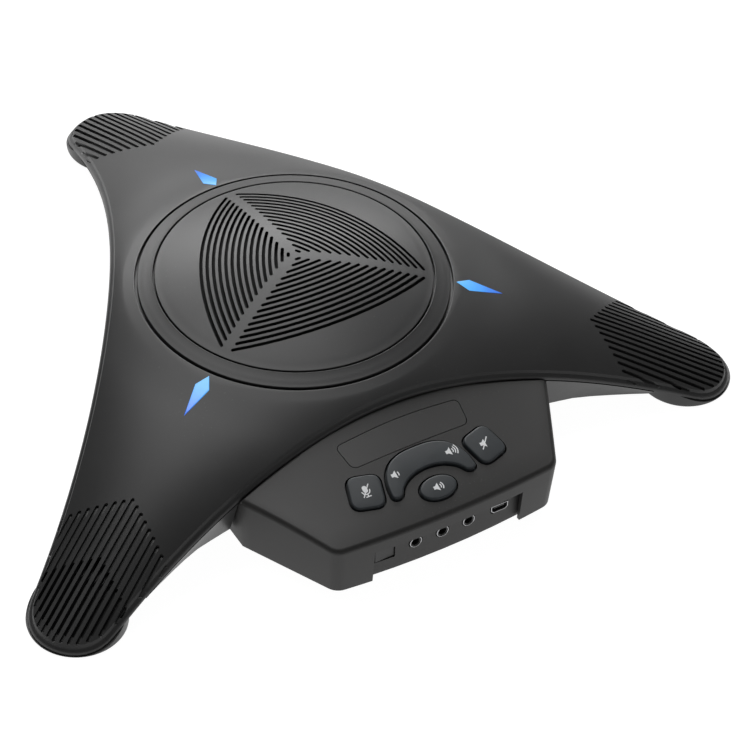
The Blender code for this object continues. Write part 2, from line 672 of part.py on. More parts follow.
def fan_slot_cutters(frame):
    """Arc slots of the three fans; each ends at the same distance from the spokes beside it."""
    cutters = []
    half = FAN_SLOT_WIDTH / 2
    sector = ARM_SPACING / 2
    for number, spoke in enumerate(ARM_ANGLES.values()):
        middle = spoke + sector
        centre = polar(-FAN_CENTRE, middle)
        for i in range(FAN_SLOTS):
            radius = FAN_CENTRE + FAN_FIRST + FAN_PITCH * i
            reach = (SPOKE_HALF_WIDTH + half + FAN_CENTRE * math.sin(math.radians(sector))) / radius
            end = sector - math.degrees(math.asin(reach))
            steps = max(1, math.ceil(end / FAN_ARC_STEP))
            outline = []
            for side, turn in ((half, 1), (-half, -1)):
                for j in range(2 * steps + 1):
                    outline.append(polar(radius + side, turn * end * (j / steps - 1)))
                x, y = polar(radius, turn * end)
                bow = polar(half, turn * (end + 90))
                outline.append((x + bow[0], y + bow[1]))
            mesh = flat_mesh(f"fan_{number}_{i}", outline, OVERALL_HEIGHT / 2, OVERALL_HEIGHT * 1.1)
            cutters.append(add_mesh(f"fan_{number}_{i}", mesh, None, frame, (*centre, 0),
                                    (0, 0, math.radians(middle))))
    return cutters


def build_lights(frame):
    """A kite-shaped light pipe in each arm's root, over a small LED board."""
    for arm, degrees in ARM_ANGLES.items():
        turn = (0, 0, math.radians(degrees))
        outline = kite_outline(0.0)
        bottom = top_height(KITE_OUTER, 0) - PIPE_LENGTH
        low = [(x, y, bottom) for x, y in outline]
        high = [(x, y, top_height(x, y) + KITE_PROUD) for x, y in outline]
        add_mesh(f"light_pipe_{arm}", loft_mesh(f"light_pipe_{arm}", [low, high]), "light lens", frame,
                 turn=turn)
        length, width, thickness = LED_BOARD_SIZE
        centre = ((KITE_INNER + KITE_OUTER) / 2, 0, bottom - FIT_GAP - thickness / 2)
        board = box_mesh(f"led_board_{arm}", (length, width, thickness), centre)
        add_mesh(f"led_board_{arm}", board, "circuit board", frame, turn=turn)


def build_microphones(frame):
    floor = BASE_FLOOR + FIT_GAP
    for arm, degrees in ARM_ANGLES.items():
        place = (*polar(MIC_RADIAL_PLACE, degrees), floor)
        pocket = MIC_CAPSULE_RADIUS + FIT_GAP
        profile = [(0, MIC_BOOT_FLOOR), (pocket, MIC_BOOT_FLOOR), (pocket, MIC_BOOT_HEIGHT),
                   (MIC_BOOT_RADIUS, MIC_BOOT_HEIGHT), (MIC_BOOT_RADIUS, 0), (0, 0)]
        smooth(add_turned(f"mic_boot_{arm}", profile, "foot rubber", frame, place, steps=20))
        bottom = MIC_BOOT_FLOOR + FIT_GAP
        mesh = cylinder_mesh(f"mic_capsule_{arm}", MIC_CAPSULE_RADIUS, bottom, bottom + MIC_CAPSULE_HEIGHT, 20)
        smooth(add_mesh(f"mic_capsule_{arm}", mesh, "plated metal", frame, place))
    build_mic_leads(frame, floor + LEAD_RADIUS)


def build_mic_leads(frame, height):
    """Leads along the arms and round the speaker's chamber to the board's rear edge."""
    start = MIC_RADIAL_PLACE - MIC_BOOT_RADIUS - LEAD_RADIUS - FIT_GAP
    runs = {"left": (LEAD_RUN_RADIUS, 210, 256, 0.0), "right": (LEAD_RUN_RADIUS, 330, 284, 0.0),
            "back": (LEAD_RUN_RADIUS + LEAD_RUN_STEP, 90, -82, LEAD_RUN_STEP)}
    for arm, (radius, first, last, lift) in runs.items():
        points = []
        for along in np.linspace(start, radius, 10):
            rise = lift * min(1.0, (start - along) / (start - radius) * 2)
            points.append((*arm_point(along, 0, first), height + rise))
        turns = max(4, round(abs(last - first) / 9))
        for angle in np.linspace(first, last, turns)[1:]:
            points.append((*polar(radius, angle), height + lift))
        end = CONSOLE_SHOULDER_Y - LEAD_RADIUS
        x, y = polar(radius, last)
        for share in np.linspace(0, 1, 5)[1:]:
            points.append((x, y + (-end - y) * share, height + lift))
        add_lead(f"mic_lead_{arm}", points, frame)


def add_lead(name, points, frame):
    curve = bpy.data.curves.new(name, "CURVE")
    curve.dimensions = "3D"
    curve.bevel_depth = LEAD_RADIUS
    curve.bevel_resolution = 2
    curve.use_fill_caps = True
    spline = curve.splines.new("POLY")
    spline.points.add(len(points) - 1)
    for point, place in zip(spline.points, points):
        point.co = (*place, 1)
    item = bpy.data.objects.new(name, curve)
    item.parent = frame
    curve.materials.append(MATERIALS["wire insulation"])
    PARTS.objects.link(item)


# ---------------------------------------------------------------- loudspeaker

def build_loudspeaker(frame):
    """A sealed chamber with a driver: fixed basket and motor, and a moving cone, dust cap and coil."""
    floor = BASE_FLOOR + FIT_GAP
    inner = CHAMBER_RADIUS - CHAMBER_WALL
    profile = [(0, floor + CHAMBER_WALL), (inner, floor + CHAMBER_WALL), (inner, CHAMBER_TOP),
               (CHAMBER_RADIUS, CHAMBER_TOP), (CHAMBER_RADIUS, floor), (0, floor)]
    smooth(add_turned("speaker_chamber", profile, "switch plastic", frame))

    flange_low = CHAMBER_TOP + FIT_GAP
    flange_top = flange_low + FLANGE_THICKNESS
    plate_top = flange_low - CONE_DEPTH - PLATE_THICKNESS
    hole = COIL_RADIUS + COIL_THICKNESS + COIL_AIR_GAP
    seat = MAGNET_RADIUS - PLATE_THICKNESS
    web = plate_top + FIT_GAP
    profile = [(CHAMBER_RADIUS, flange_top), (CHAMBER_RADIUS, flange_low), (SURROUND_RADIUS, flange_low),
               (seat + 2 * PLATE_THICKNESS, web), (seat, web), (seat, web + CHAMBER_WALL),
               (seat + PLATE_THICKNESS, web + CHAMBER_WALL), (SURROUND_RADIUS - CHAMBER_WALL, flange_top)]
    smooth(add_turned("speaker_basket", profile, "steel", frame))

    roll_low = flange_top + FIT_GAP
    profile = [(SURROUND_RADIUS, roll_low + FLANGE_THICKNESS), (SURROUND_RADIUS, roll_low),
               (CONE_RADIUS + 2 * FIT_GAP, roll_low), (CONE_RADIUS + 2 * FIT_GAP, roll_low + FLANGE_THICKNESS),
               ((SURROUND_RADIUS + CONE_RADIUS) / 2, roll_low + 2 * FLANGE_THICKNESS)]
    smooth(add_turned("speaker_surround", profile, "foot rubber", frame))

    smooth(add_turned("front_plate", [(MAGNET_RADIUS, plate_top), (MAGNET_RADIUS, plate_top - PLATE_THICKNESS),
                                      (hole, plate_top - PLATE_THICKNESS), (hole, plate_top)], "steel", frame))
    magnet_top = plate_top - PLATE_THICKNESS - FIT_GAP
    magnet_low = magnet_top - MAGNET_HEIGHT
    smooth(add_turned("magnet", [(MAGNET_RADIUS, magnet_top), (MAGNET_RADIUS, magnet_low),
                                 (hole + PLATE_THICKNESS, magnet_low), (hole + PLATE_THICKNESS, magnet_top)],
                      "magnet", frame))
    pole = COIL_RADIUS - COIL_AIR_GAP
    yoke_top = magnet_low - FIT_GAP
    smooth(add_turned("yoke", [(0, plate_top), (pole, plate_top), (pole, yoke_top), (MAGNET_RADIUS, yoke_top),
                               (MAGNET_RADIUS, yoke_top - PLATE_THICKNESS), (0, yoke_top - PLATE_THICKNESS)],
                      "steel", frame))

    cone_top = roll_low + FLANGE_THICKNESS
    cone_low = cone_top - CONE_DEPTH
    mover = add_empty("cone_frame", (0, 0, cone_low), parent=frame)
    rise = cone_top - cone_low
    neck = COIL_RADIUS + COIL_THICKNESS
    profile = [(CONE_RADIUS, rise), (CONE_RADIUS, rise - CONE_THICKNESS), (neck + CONE_THICKNESS, 0),
               (neck, 0), (neck, CONE_THICKNESS), (CONE_RADIUS - 2 * CONE_THICKNESS, rise)]
    smooth(add_turned("speaker_cone", profile, "paper cone", mover))
    coil_top = -FIT_GAP
    smooth(add_turned("voice_coil", [(neck, coil_top), (neck, coil_top - COIL_LENGTH),
                                     (COIL_RADIUS, coil_top - COIL_LENGTH), (COIL_RADIUS, coil_top)],
                      "plated metal", mover))
    cap = COIL_RADIUS - FIT_GAP
    profile = [(0, cap / 2), (cap * 0.6, cap * 0.4), (cap, 0), (cap, -CONE_THICKNESS), (0, -CONE_THICKNESS)]
    smooth(add_turned("dust_cap", profile, "paper cone", mover))


# ---------------------------------------------------------------- console

def deck_height(x, y):
    """Height of the key deck over a plan point in front of the axis."""
    forward = -y - CONSOLE_SHOULDER_Y
    share = forward / (CONSOLE_FRONT - CONSOLE_SHOULDER_Y)
    crown = DECK_CROWN_REAR + (DECK_CROWN_FRONT - DECK_CROWN_REAR) * share
    return DECK_REAR_HEIGHT - DECK_SLOPE * forward - crown * x ** 2


def front_arc_y(x, setback=0.0):
    """Plan place of the console's curved front, or of a face set back from it."""
    radius = FRONT_ARC_RADIUS - setback
    return FRONT_ARC_RADIUS - CONSOLE_FRONT - math.sqrt(radius ** 2 - x ** 2)


def console_corner():
    """Middle of the console's rounded corner, the directions of its ends, and the side's inward normal."""
    side_x = CONSOLE_SHOULDER_X - CONSOLE_CORNER_X
    side_y = CONSOLE_CORNER_Y - CONSOLE_SHOULDER_Y
    length = math.hypot(side_x, side_y)
    inward = (-side_y / length, side_x / length)
    along = (-side_x / length, -side_y / length)
    start_x = CONSOLE_SHOULDER_X + inward[0] * CONSOLE_CORNER_ROUND
    start_y = -CONSOLE_SHOULDER_Y + inward[1] * CONSOLE_CORNER_ROUND
    from_arc = start_y - (FRONT_ARC_RADIUS - CONSOLE_FRONT)
    half = start_x * along[0] + from_arc * along[1]
    rest = start_x ** 2 + from_arc ** 2 - (FRONT_ARC_RADIUS - CONSOLE_CORNER_ROUND) ** 2
    reach = math.sqrt(half ** 2 - rest) - half
    middle = (start_x + along[0] * reach, start_y + along[1] * reach)
    first = math.atan2(-inward[1], -inward[0])
    last = math.atan2(middle[1] - (FRONT_ARC_RADIUS - CONSOLE_FRONT), middle[0])
    return middle, first, last, inward


def console_plan(inset=0.0):
    """Front outline from the left shoulder to the right one, moved inwards by a distance."""
    middle, first, last, inward = console_corner()
    right = [(CONSOLE_SHOULDER_X + inward[0] * inset, -CONSOLE_SHOULDER_Y + inward[1] * inset)]
    for angle in np.linspace(first, last, CONSOLE_CORNER_STEPS + 1):
        reach = CONSOLE_CORNER_ROUND - inset
        right.append((middle[0] + reach * math.cos(angle), middle[1] + reach * math.sin(angle)))
    for x in np.linspace(right[-1][0], 0, CONSOLE_FRONT_STEPS + 1)[1:]:
        right.append((float(x), front_arc_y(float(x), inset)))
    return [(-x, y) for x, y in right] + list(reversed(right[:-1]))


def console_block(name, inset, lower, overrun):
    """The console's solid shape, moved inwards and lowered, and carried past its hidden ends."""
    rear = -CONSOLE_REAR + overrun
    bottom = CONSOLE_UNDERSIDE - overrun
    loops = []
    plans = zip(console_plan(inset), console_plan(inset + CONSOLE_EDGE_ROUND * EDGE_SHARE),
                console_plan(inset + CONSOLE_EDGE_ROUND))
    for (x, y), (mid_x, mid_y), (top_x, top_y) in plans:
        base_x, base_y = x * CONSOLE_DRAFT, -CONSOLE_REAR + (y + CONSOLE_REAR) * CONSOLE_DRAFT
        loops.append([(base_x, rear, bottom), (top_x, rear, deck_height(top_x, rear) - lower),
                      (top_x, top_y, deck_height(top_x, top_y) - lower),
                      (mid_x, mid_y, deck_height(mid_x, mid_y) - lower - CONSOLE_EDGE_ROUND * EDGE_SHARE),
                      (x, y, deck_height(x, y) - lower - CONSOLE_EDGE_ROUND), (base_x, base_y, bottom)])
    return loft_mesh(name, loops)


def build_console(frame, deck):
    housing = add_mesh("console_housing", console_block("console_housing", 0.0, 0.0, 0.0),
                       "console plastic", frame)
    hollow = console_block("console_hollow", CONSOLE_WALL, DECK_WALL, 10 * MM)
    combine(housing, add_mesh("console_hollow", hollow, None, frame))
    combine(housing, add_mesh("cover_gap", cover_space_mesh(FIT_GAP), None, frame))
    recess = box_mesh("recess", (2 * RECESS_HALF_WIDTH, 4 * CONSOLE_WALL, 2 * RECESS_TOP))
    combine(housing, add_mesh("recess", recess, None, frame, (0, -CONSOLE_FRONT + CONSOLE_WALL, 0)))
    recess = add_label_prism("label_recess", FIT_GAP, None, deck)
    floor = console_block("recess_floor", 0.0, LABEL_DEPTH, 0.0)
    combine(recess, add_mesh("recess_floor", floor, None, frame))
    combine(housing, recess)
    combine_all(housing, "key openings", key_cutters())
    smooth(housing)

    inner = console_plan(CONSOLE_WALL + FIT_GAP)
    plan = [(x * CONSOLE_DRAFT, -CONSOLE_REAR + (y + CONSOLE_REAR) * CONSOLE_DRAFT) for x, y in inner]
    plan = [(x, y + 2 * FIT_GAP if abs(x) < CONSOLE_CORNER_X else y) for x, y in plan]
    plan += [(plan[-1][0], -CONSOLE_REAR), (plan[0][0], -CONSOLE_REAR)]
    floor = add_mesh("console_floor", flat_mesh("console_floor", plan, CONSOLE_UNDERSIDE, CONSOLE_FLOOR_TOP),
                     "console plastic", frame)
    holes = []
    for side in (-1, 1):
        place = (side * FLOOR_SCREW_PLACE[0], -FLOOR_SCREW_PLACE[1], CONSOLE_UNDERSIDE)
        holes.append(add_mesh(f"floor_hole_{side}", screw_hole_mesh(f"floor_hole_{side}"), None, frame, place))
    combine_all(floor, "floor holes", holes)


def label_outline(grow):
    """Rounded trapezoid of the blank label, in the deck's plane."""
    rear = (DECK_POINT_Y - LABEL_REAR) / math.cos(DECK_TILT) + grow
    front = (DECK_POINT_Y - LABEL_FRONT) / math.cos(DECK_TILT) - grow
    corners = [(LABEL_REAR_HALF_WIDTH + grow, rear), (-LABEL_REAR_HALF_WIDTH - grow, rear),
               (-LABEL_FRONT_HALF_WIDTH - grow, front), (LABEL_FRONT_HALF_WIDTH + grow, front)]
    return rounded_polygon(corners, LABEL_ROUND + grow)


def rounded_polygon(corners, radius, steps=4):
    """Corners of a polygon, listed anticlockwise, replaced by short curves."""
    points = []
    for i, (x, y) in enumerate(corners):
        ends = []
        for other_x, other_y in (corners[i - 1], corners[(i + 1) % len(corners)]):
            length = math.hypot(other_x - x, other_y - y)
            ends.append((x + (other_x - x) * radius / length, y + (other_y - y) * radius / length))
        for j in range(steps + 1):
            share = j / steps
            a, b, c = (1 - share) ** 2, 2 * share * (1 - share), share ** 2
            points.append((a * ends[0][0] + b * x + c * ends[1][0], a * ends[0][1] + b * y + c * ends[1][1]))
    return points


def side_key_outline(side, grow):
    width, height = SIDE_KEY_SIZE[0] / 2 + grow, SIDE_KEY_SIZE[1] / 2 + grow
    corners = [(width, height), (-width, height), (-width, -height), (width, -height)]
    turned = [arm_point(x, y, side * SIDE_KEY_TURN) for x, y in corners]
    return rounded_polygon(turned, SIDE_KEY_ROUND + grow)


def talk_key_outline(grow):
    steps = 24
    return [((TALK_KEY_SIZE[0] + grow) * math.cos(math.tau * i / steps),
             (TALK_KEY_SIZE[1] + grow) * math.sin(math.tau * i / steps)) for i in range(steps)]


def rocker_outline(grow):
    """Crescent round the talk key: an outer and an inner half-ellipse joined by round ends."""
    steps = 14
    points = []
    end = ROCKER_END_ANGLE - math.degrees(grow / ROCKER_OUTER[0])
    for i in range(steps + 1):
        x, y = polar(1.0, end + (180 - 2 * end) * i / steps)
        points.append((x * (ROCKER_OUTER[0] + grow), y * (ROCKER_OUTER[1] + grow)))
    for i in range(steps + 1):
        x, y = polar(1.0, 180 - end - (180 - 2 * end) * i / steps)
        points.append((x * (ROCKER_INNER[0] - grow), y * (ROCKER_INNER[1] - grow)))
    return points


KEY_SHAPES = {
    "mic_mute_key": lambda grow: side_key_outline(-1, grow),
    "speaker_mute_key": lambda grow: side_key_outline(1, grow),
    "talk_key": talk_key_outline,
    "volume_rocker": rocker_outline,
}


def build_key_frames(deck):
    """One empty on each key's axis, square to the deck's crowned surface there."""
    frames = {}
    for name, side in (("mic_mute_key", -1), ("speaker_mute_key", 1)):
        x = side * SIDE_KEY_PLACE[0]
        crown = (DECK_CROWN_REAR + DECK_CROWN_FRONT) / 2
        sink = -crown * x ** 2 * math.cos(DECK_TILT)
        frames[name] = add_empty(f"{name}_frame", (x, SIDE_KEY_PLACE[1], sink),
                                 (0, math.atan(2 * crown * x), 0), deck)
    frames["talk_key"] = add_empty("talk_key_frame", (0, TALK_KEY_PLACE, 0), parent=deck)
    frames["volume_rocker"] = add_empty("volume_rocker_frame", (0, TALK_KEY_PLACE, 0), parent=deck)
    return frames


def key_cutters():
    cutters = []
    for name, outline in KEY_SHAPES.items():
        mesh = flat_mesh(f"{name}_opening", outline(KEY_CLEARANCE), 2 * KEY_FLANGE_TOP, 3 * KEY_PROUD)
        cutters.append(add_mesh(f"{name}_opening", mesh, None, KEY_FRAMES[name]))
    return cutters


def build_keys():
    """Caps that stand through the deck, each with a wider flange under it that rests over its switch."""
    flange = KEY_CLEARANCE + KEY_FLANGE
    levels = ((flange, KEY_BOTTOM), (flange, KEY_FLANGE_TOP), (0.0, KEY_FLANGE_TOP),
              (0.0, KEY_PROUD - KEY_CHAMFER), (-KEY_CHAMFER, KEY_PROUD))
    for name, outline in KEY_SHAPES.items():
        loops = [[(x, y, height) for x, y in outline(grow)] for grow, height in levels]
        smooth(add_mesh(name, loft_mesh(name, loops), "key rubber", KEY_FRAMES[name]))


SWITCH_PLACES = {
    "mic_mute_key": [(0, 0)],
    "speaker_mute_key": [(0, 0)],
    "talk_key": [(0, 0)],
    "volume_rocker": [(-12.0 * MM, 9.0 * MM), (12.0 * MM, 9.0 * MM)],
}
SWITCH_NAMES = {
    "mic_mute_key": ["switch_mic_mute"],
    "speaker_mute_key": ["switch_speaker_mute"],
    "talk_key": ["switch_talk"],
    "volume_rocker": ["switch_volume_down", "switch_volume_up"],
}


def build_key_board(deck):
    board_top = SWITCH_TOP - SWITCH_BUTTON_HEIGHT - SWITCH_HEIGHT - FIT_GAP
    sink = min(frame.location.z for frame in KEY_FRAMES.values())
    length, width, thickness = KEY_BOARD_SIZE
    board = box_mesh("key_board", (length, width, thickness), (0, 0, board_top + sink - thickness / 2))
    add_mesh("key_board", board, "circuit board", deck)
    for key, names in SWITCH_NAMES.items():
        frame = KEY_FRAMES[key]
        lift = frame.location.z
        for name, (x, y) in zip(names, SWITCH_PLACES[key]):
            top = SWITCH_TOP + lift
            height = top - SWITCH_BUTTON_HEIGHT - (board_top + sink + FIT_GAP)
            body = box_mesh(name, (SWITCH_SIZE, SWITCH_SIZE, height),
                            (0, 0, top - SWITCH_BUTTON_HEIGHT - height / 2))
            place = (frame.location.x + x, frame.location.y + y, 0)
            switch = add_mesh(name, body, "switch plastic", deck, place)
            button = cylinder_mesh(f"{name}_button", SWITCH_BUTTON_RADIUS, top - SWITCH_BUTTON_HEIGHT * 2, top, 12)
            combine(switch, add_mesh(f"{name}_button", button, None, deck, place), "UNION")


def add_label_prism(name, grow, material, deck):
    """The label's outline drawn well past the deck on both sides."""
    return add_mesh(name, flat_mesh(name, label_outline(grow), -LABEL_REACH, LABEL_REACH), material, deck)


def build_label(frame, deck):
    """Blank plate that follows the deck's crown."""
    slab = console_block("label_inlay", CONSOLE_EDGE_ROUND, 0.0, 0.0)
    label = add_mesh("label_inlay", slab, "label film", frame)
    under = console_block("label_under", 0.0, LABEL_THICKNESS, LABEL_REACH)
    combine(label, add_mesh("label_under", under, None, frame))
    combine(label, add_label_prism("label_edge", 0.0, None, deck), "INTERSECT")
    smooth(label)


# ---------------------------------------------------------------- ports and boards

def usb_outline(grow):
    """Mini USB shell, in width and height about its middle: two lower corners cut away."""
    half_width, half_height = USB_WIDTH / 2 + grow, USB_HEIGHT / 2 + grow
    step = USB_HEIGHT * 0.3
    return [(half_width, half_height), (-half_width, half_height), (-half_width, -half_height + step),
            (-half_width + step, -half_height), (half_width - step, -half_height),
            (half_width, -half_height + step)]


def build_ports(frame):
    panel_bottom = CONSOLE_FLOOR_TOP + FIT_GAP
    half = RECESS_HALF_WIDTH + PANEL_MARGIN
    xs = np.linspace(-half, half, 9)
    outline = [(float(x), front_arc_y(float(x), PANEL_SETBACK)) for x in xs]
    outline += [(float(x), front_arc_y(float(x), PANEL_SETBACK + PANEL_THICKNESS)) for x in reversed(xs)]
    panel = add_mesh("port_panel", flat_mesh("port_panel", outline, panel_bottom, PANEL_TOP),
                     "console plastic", frame)
    upright = (math.pi / 2, 0, 0)
    cutters = []
    for i, x in enumerate(JACK_PLACES):
        hole = cylinder_mesh(f"jack_hole_{i}", JACK_BARREL_RADIUS + PORT_CLEARANCE, -10 * MM, 10 * MM)
        cutters.append(add_mesh(f"jack_hole_{i}", hole, None, frame,
                                (x, front_arc_y(x, PANEL_SETBACK), PORT_HEIGHT), upright))
    hole = flat_mesh("usb_hole", usb_outline(PORT_CLEARANCE), -10 * MM, 10 * MM)
    usb_height = BOARD_TOP + FIT_GAP + USB_HEIGHT / 2
    cutters.append(add_mesh("usb_hole", hole, None, frame,
                            (USB_PLACE, front_arc_y(USB_PLACE, PANEL_SETBACK), usb_height), upright))
    blank_width, blank_height = BLANK_SIZE
    blank_y = front_arc_y(BLANK_PLACE, PANEL_SETBACK)
    opening = box_mesh("blank_opening", (blank_width + 2 * FIT_GAP, 20 * MM, blank_height + 2 * FIT_GAP))
    cutters.append(add_mesh("blank_opening", opening, None, frame, (BLANK_PLACE, blank_y, PORT_HEIGHT)))
    combine_all(panel, "port openings", cutters)

    blank = box_mesh("socket_blank", (blank_width, PANEL_THICKNESS, blank_height),
                     (0, PANEL_THICKNESS / 2 + FIT_GAP, 0))
    add_mesh("socket_blank", blank, "console plastic", frame, (BLANK_PLACE, blank_y, PORT_HEIGHT))

    for i, x in enumerate(JACK_PLACES):
        front = front_arc_y(x, PANEL_SETBACK) - JACK_PROUD
        back = front_arc_y(x, PANEL_SETBACK + PANEL_THICKNESS) + FIT_GAP
        name = f"audio_jack_{i + 1}"
        body = box_mesh(name, JACK_BODY, (0, back + JACK_BODY[1] / 2, PORT_HEIGHT))
        jack = add_mesh(name, body, "plated metal", frame, (x, 0, 0))
        barrel = cylinder_mesh(f"{name}_barrel", JACK_BARREL_RADIUS, 0, back - front + FIT_GAP, 20)
        combine(jack, add_mesh(f"{name}_barrel", barrel, None, frame, (x, back + FIT_GAP, PORT_HEIGHT),
                               upright), "UNION")
        bore = cylinder_mesh(f"{name}_bore", JACK_BORE_RADIUS, -JACK_BORE_DEPTH, JACK_BORE_DEPTH, 16)
        combine(jack, add_mesh(f"{name}_bore", bore, None, frame, (x, front, PORT_HEIGHT), upright))

    front = front_arc_y(USB_PLACE, PANEL_SETBACK) - JACK_PROUD
    shell = flat_mesh("usb_socket", usb_outline(0.0), -USB_LENGTH, 0)
    usb = add_mesh("usb_socket", shell, "plated metal", frame, (USB_PLACE, front, usb_height), upright)
    cavity = flat_mesh("usb_cavity", usb_outline(-USB_WALL), -USB_LENGTH * 0.7, USB_LENGTH)
    combine(usb, add_mesh("usb_cavity", cavity, None, frame, (USB_PLACE, front, usb_height), upright))

    length, width, thickness = BOARD_SIZE
    board_front = front_arc_y(BOARD_SIZE[0] / 2, PANEL_SETBACK + PANEL_THICKNESS) + FIT_GAP
    board = box_mesh("main_board", (length, width, thickness),
                     (0, board_front + width / 2, BOARD_TOP - thickness / 2))
    add_mesh("main_board", board, "circuit board", frame)


# ---------------------------------------------------------------- feet, screws, rating plate

def add_screw(name, frame, place):
    """Countersunk-head screw standing upwards from its seat."""
    profile = [(0, SCREW_LENGTH - 2 * FIT_GAP), (SCREW_SHANK_RADIUS, SCREW_LENGTH - 2 * FIT_GAP),
               (SCREW_SHANK_RADIUS, SCREW_HEAD_HEIGHT - 2 * FIT_GAP),
               (SCREW_HEAD_RADIUS, SCREW_HEAD_HEIGHT - 2 * FIT_GAP), (SCREW_HEAD_RADIUS, FIT_GAP), (0, FIT_GAP)]
    smooth(add_turned(name, profile, "steel", frame, place, steps=16))


def build_underside(frame):
    for arm, degrees in ARM_ANGLES.items():
        pad = cylinder_mesh(f"foot_pad_{arm}", PAD_RADIUS, 0, POD_UNDERSIDE + PAD_DEPTH - FIT_GAP, 32)
        smooth(add_mesh(f"foot_pad_{arm}", pad, "foot rubber", frame, (*polar(PAD_RADIAL_PLACE, degrees), 0)))
        add_screw(f"arm_screw_{arm}", frame, (*arm_point(*ARM_SCREW_PLACE, degrees), BASE_UNDERSIDE))
    for side, word in ((-1, "left"), (1, "right")):
        add_screw(f"floor_screw_{word}", frame,
                  (side * FLOOR_SCREW_PLACE[0], -FLOOR_SCREW_PLACE[1], CONSOLE_UNDERSIDE))
    length, width, thickness = RATING_PLATE_SIZE
    plate = box_mesh("rating_plate", (length, width, thickness),
                     (0, 0, BASE_UNDERSIDE - FIT_GAP - thickness / 2))
    add_mesh("rating_plate", plate, "label film", frame)


clear_scene()
PARTS = new_collection("conference_speakerphone")
CUTTERS = new_collection("cutters")
WORKBENCH = bpy.data.scenes.new("workbench")
MATERIALS = {name: make_material(name) for name in COLOURS}
AXIS = add_empty("speaker_axis", (0, AXIS_Y, 0))
DECK = add_empty("key_deck", (0, -DECK_POINT_Y, deck_height(0, -DECK_POINT_Y)), (DECK_TILT, 0, 0), AXIS)
KEY_FRAMES = build_key_frames(DECK)
build_top_shell(AXIS)
build_base_shell(AXIS)
build_speaker_opening(AXIS)
build_lights(AXIS)
build_microphones(AXIS)
build_loudspeaker(AXIS)
build_console(AXIS, DECK)
build_keys()
build_key_board(DECK)
build_label(AXIS, DECK)
build_ports(AXIS)
build_underside(AXIS)
bpy.data.scenes.remove(WORKBENCH)
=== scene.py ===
"""Finished look of a three-armed conference speakerphone with a key console at its front.

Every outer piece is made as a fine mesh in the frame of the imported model: the cover and its slots, the
speaker ring and grille, the console with its keys and sockets, and the base with its feet. The hidden
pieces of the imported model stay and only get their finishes.
"""

import logging
import math
from dataclasses import dataclass, field
from enum import Enum

import bmesh
import bpy
from mathutils import Matrix, Vector
from mathutils.bvhtree import BVHTree
from mathutils.interpolate import poly_3d_calc

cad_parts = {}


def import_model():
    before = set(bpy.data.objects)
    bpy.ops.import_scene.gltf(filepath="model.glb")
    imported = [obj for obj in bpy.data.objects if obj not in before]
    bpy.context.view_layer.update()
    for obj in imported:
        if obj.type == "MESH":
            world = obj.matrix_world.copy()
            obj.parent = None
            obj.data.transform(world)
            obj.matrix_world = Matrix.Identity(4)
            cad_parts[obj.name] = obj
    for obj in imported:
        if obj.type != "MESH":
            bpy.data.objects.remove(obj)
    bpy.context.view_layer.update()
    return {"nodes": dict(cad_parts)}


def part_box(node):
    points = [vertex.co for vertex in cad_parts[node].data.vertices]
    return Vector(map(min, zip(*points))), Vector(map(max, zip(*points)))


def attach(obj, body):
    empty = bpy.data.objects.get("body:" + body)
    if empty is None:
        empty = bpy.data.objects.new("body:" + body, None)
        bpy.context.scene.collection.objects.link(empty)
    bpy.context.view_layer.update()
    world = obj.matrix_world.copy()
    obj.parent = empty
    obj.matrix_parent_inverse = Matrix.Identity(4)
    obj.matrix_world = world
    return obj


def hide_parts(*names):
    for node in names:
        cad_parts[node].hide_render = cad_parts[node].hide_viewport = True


MM = 0.001
LOG = logging.getLogger("speakerphone")
Point = tuple[float, float]
Place = tuple[float, float, float]
Colour = tuple[float, float, float]


# ---------------------------------------------------------------- plan and solid helpers

def polar(radius: float, degrees: float) -> Point:
    """Plan point at a radius and an angle in degrees."""
    return radius * math.cos(math.radians(degrees)), radius * math.sin(math.radians(degrees))


def along_arm(along: float, across: float, degrees: float) -> Point:
    """Plan point given along and across an arm that lies at an angle."""
    c, s = polar(1.0, degrees)
    return along * c - across * s, along * s + across * c


def spread(low: float, high: float, steps: int) -> list[float]:
    """Evenly spaced values from one end to the other, both included."""
    return [low + (high - low) * i / steps for i in range(steps + 1)]


def offset_loop(points: list[Point], distance: float) -> list[Point]:
    """Moves a smooth anticlockwise loop outwards, or inwards for a negative distance.

    Args:
        points: corners of the loop.
        distance: how far each corner moves along the mean of its edges' normals.

    Returns:
        The moved corners, in the same order.
    """
    moved = []
    for i, (x, y) in enumerate(points):
        before, after = points[i - 1], points[(i + 1) % len(points)]
        first = Vector((y - before[1], before[0] - x)).normalized()
        second = Vector((after[1] - y, x - after[0])).normalized()
        normal = (first + second).normalized()
        stretch = distance / max(0.5, normal.dot(first))
        moved.append((x + normal.x * stretch, y + normal.y * stretch))
    return moved


def rounded_polygon(corners: list[Point], radius: float, steps: int = 8) -> list[Point]:
    """Replaces each corner of an anticlockwise polygon by a short curve.

    Args:
        corners: the polygon's corners.
        radius: distance from each corner at which its curve starts.
        steps: straight pieces in each curve.

    Returns:
        The points of the rounded outline.
    """
    points = []
    for i, (x, y) in enumerate(corners):
        ends = []
        for other in (corners[i - 1], corners[(i + 1) % len(corners)]):
            length = math.hypot(other[0] - x, other[1] - y)
            ends.append((x + (other[0] - x) * radius / length, y + (other[1] - y) * radius / length))
        for share in spread(0.0, 1.0, steps):
            a, b, c = (1 - share) ** 2, 2 * share * (1 - share), share ** 2
            points.append((a * ends[0][0] + b * x + c * ends[1][0], a * ends[0][1] + b * y + c * ends[1][1]))
    return points


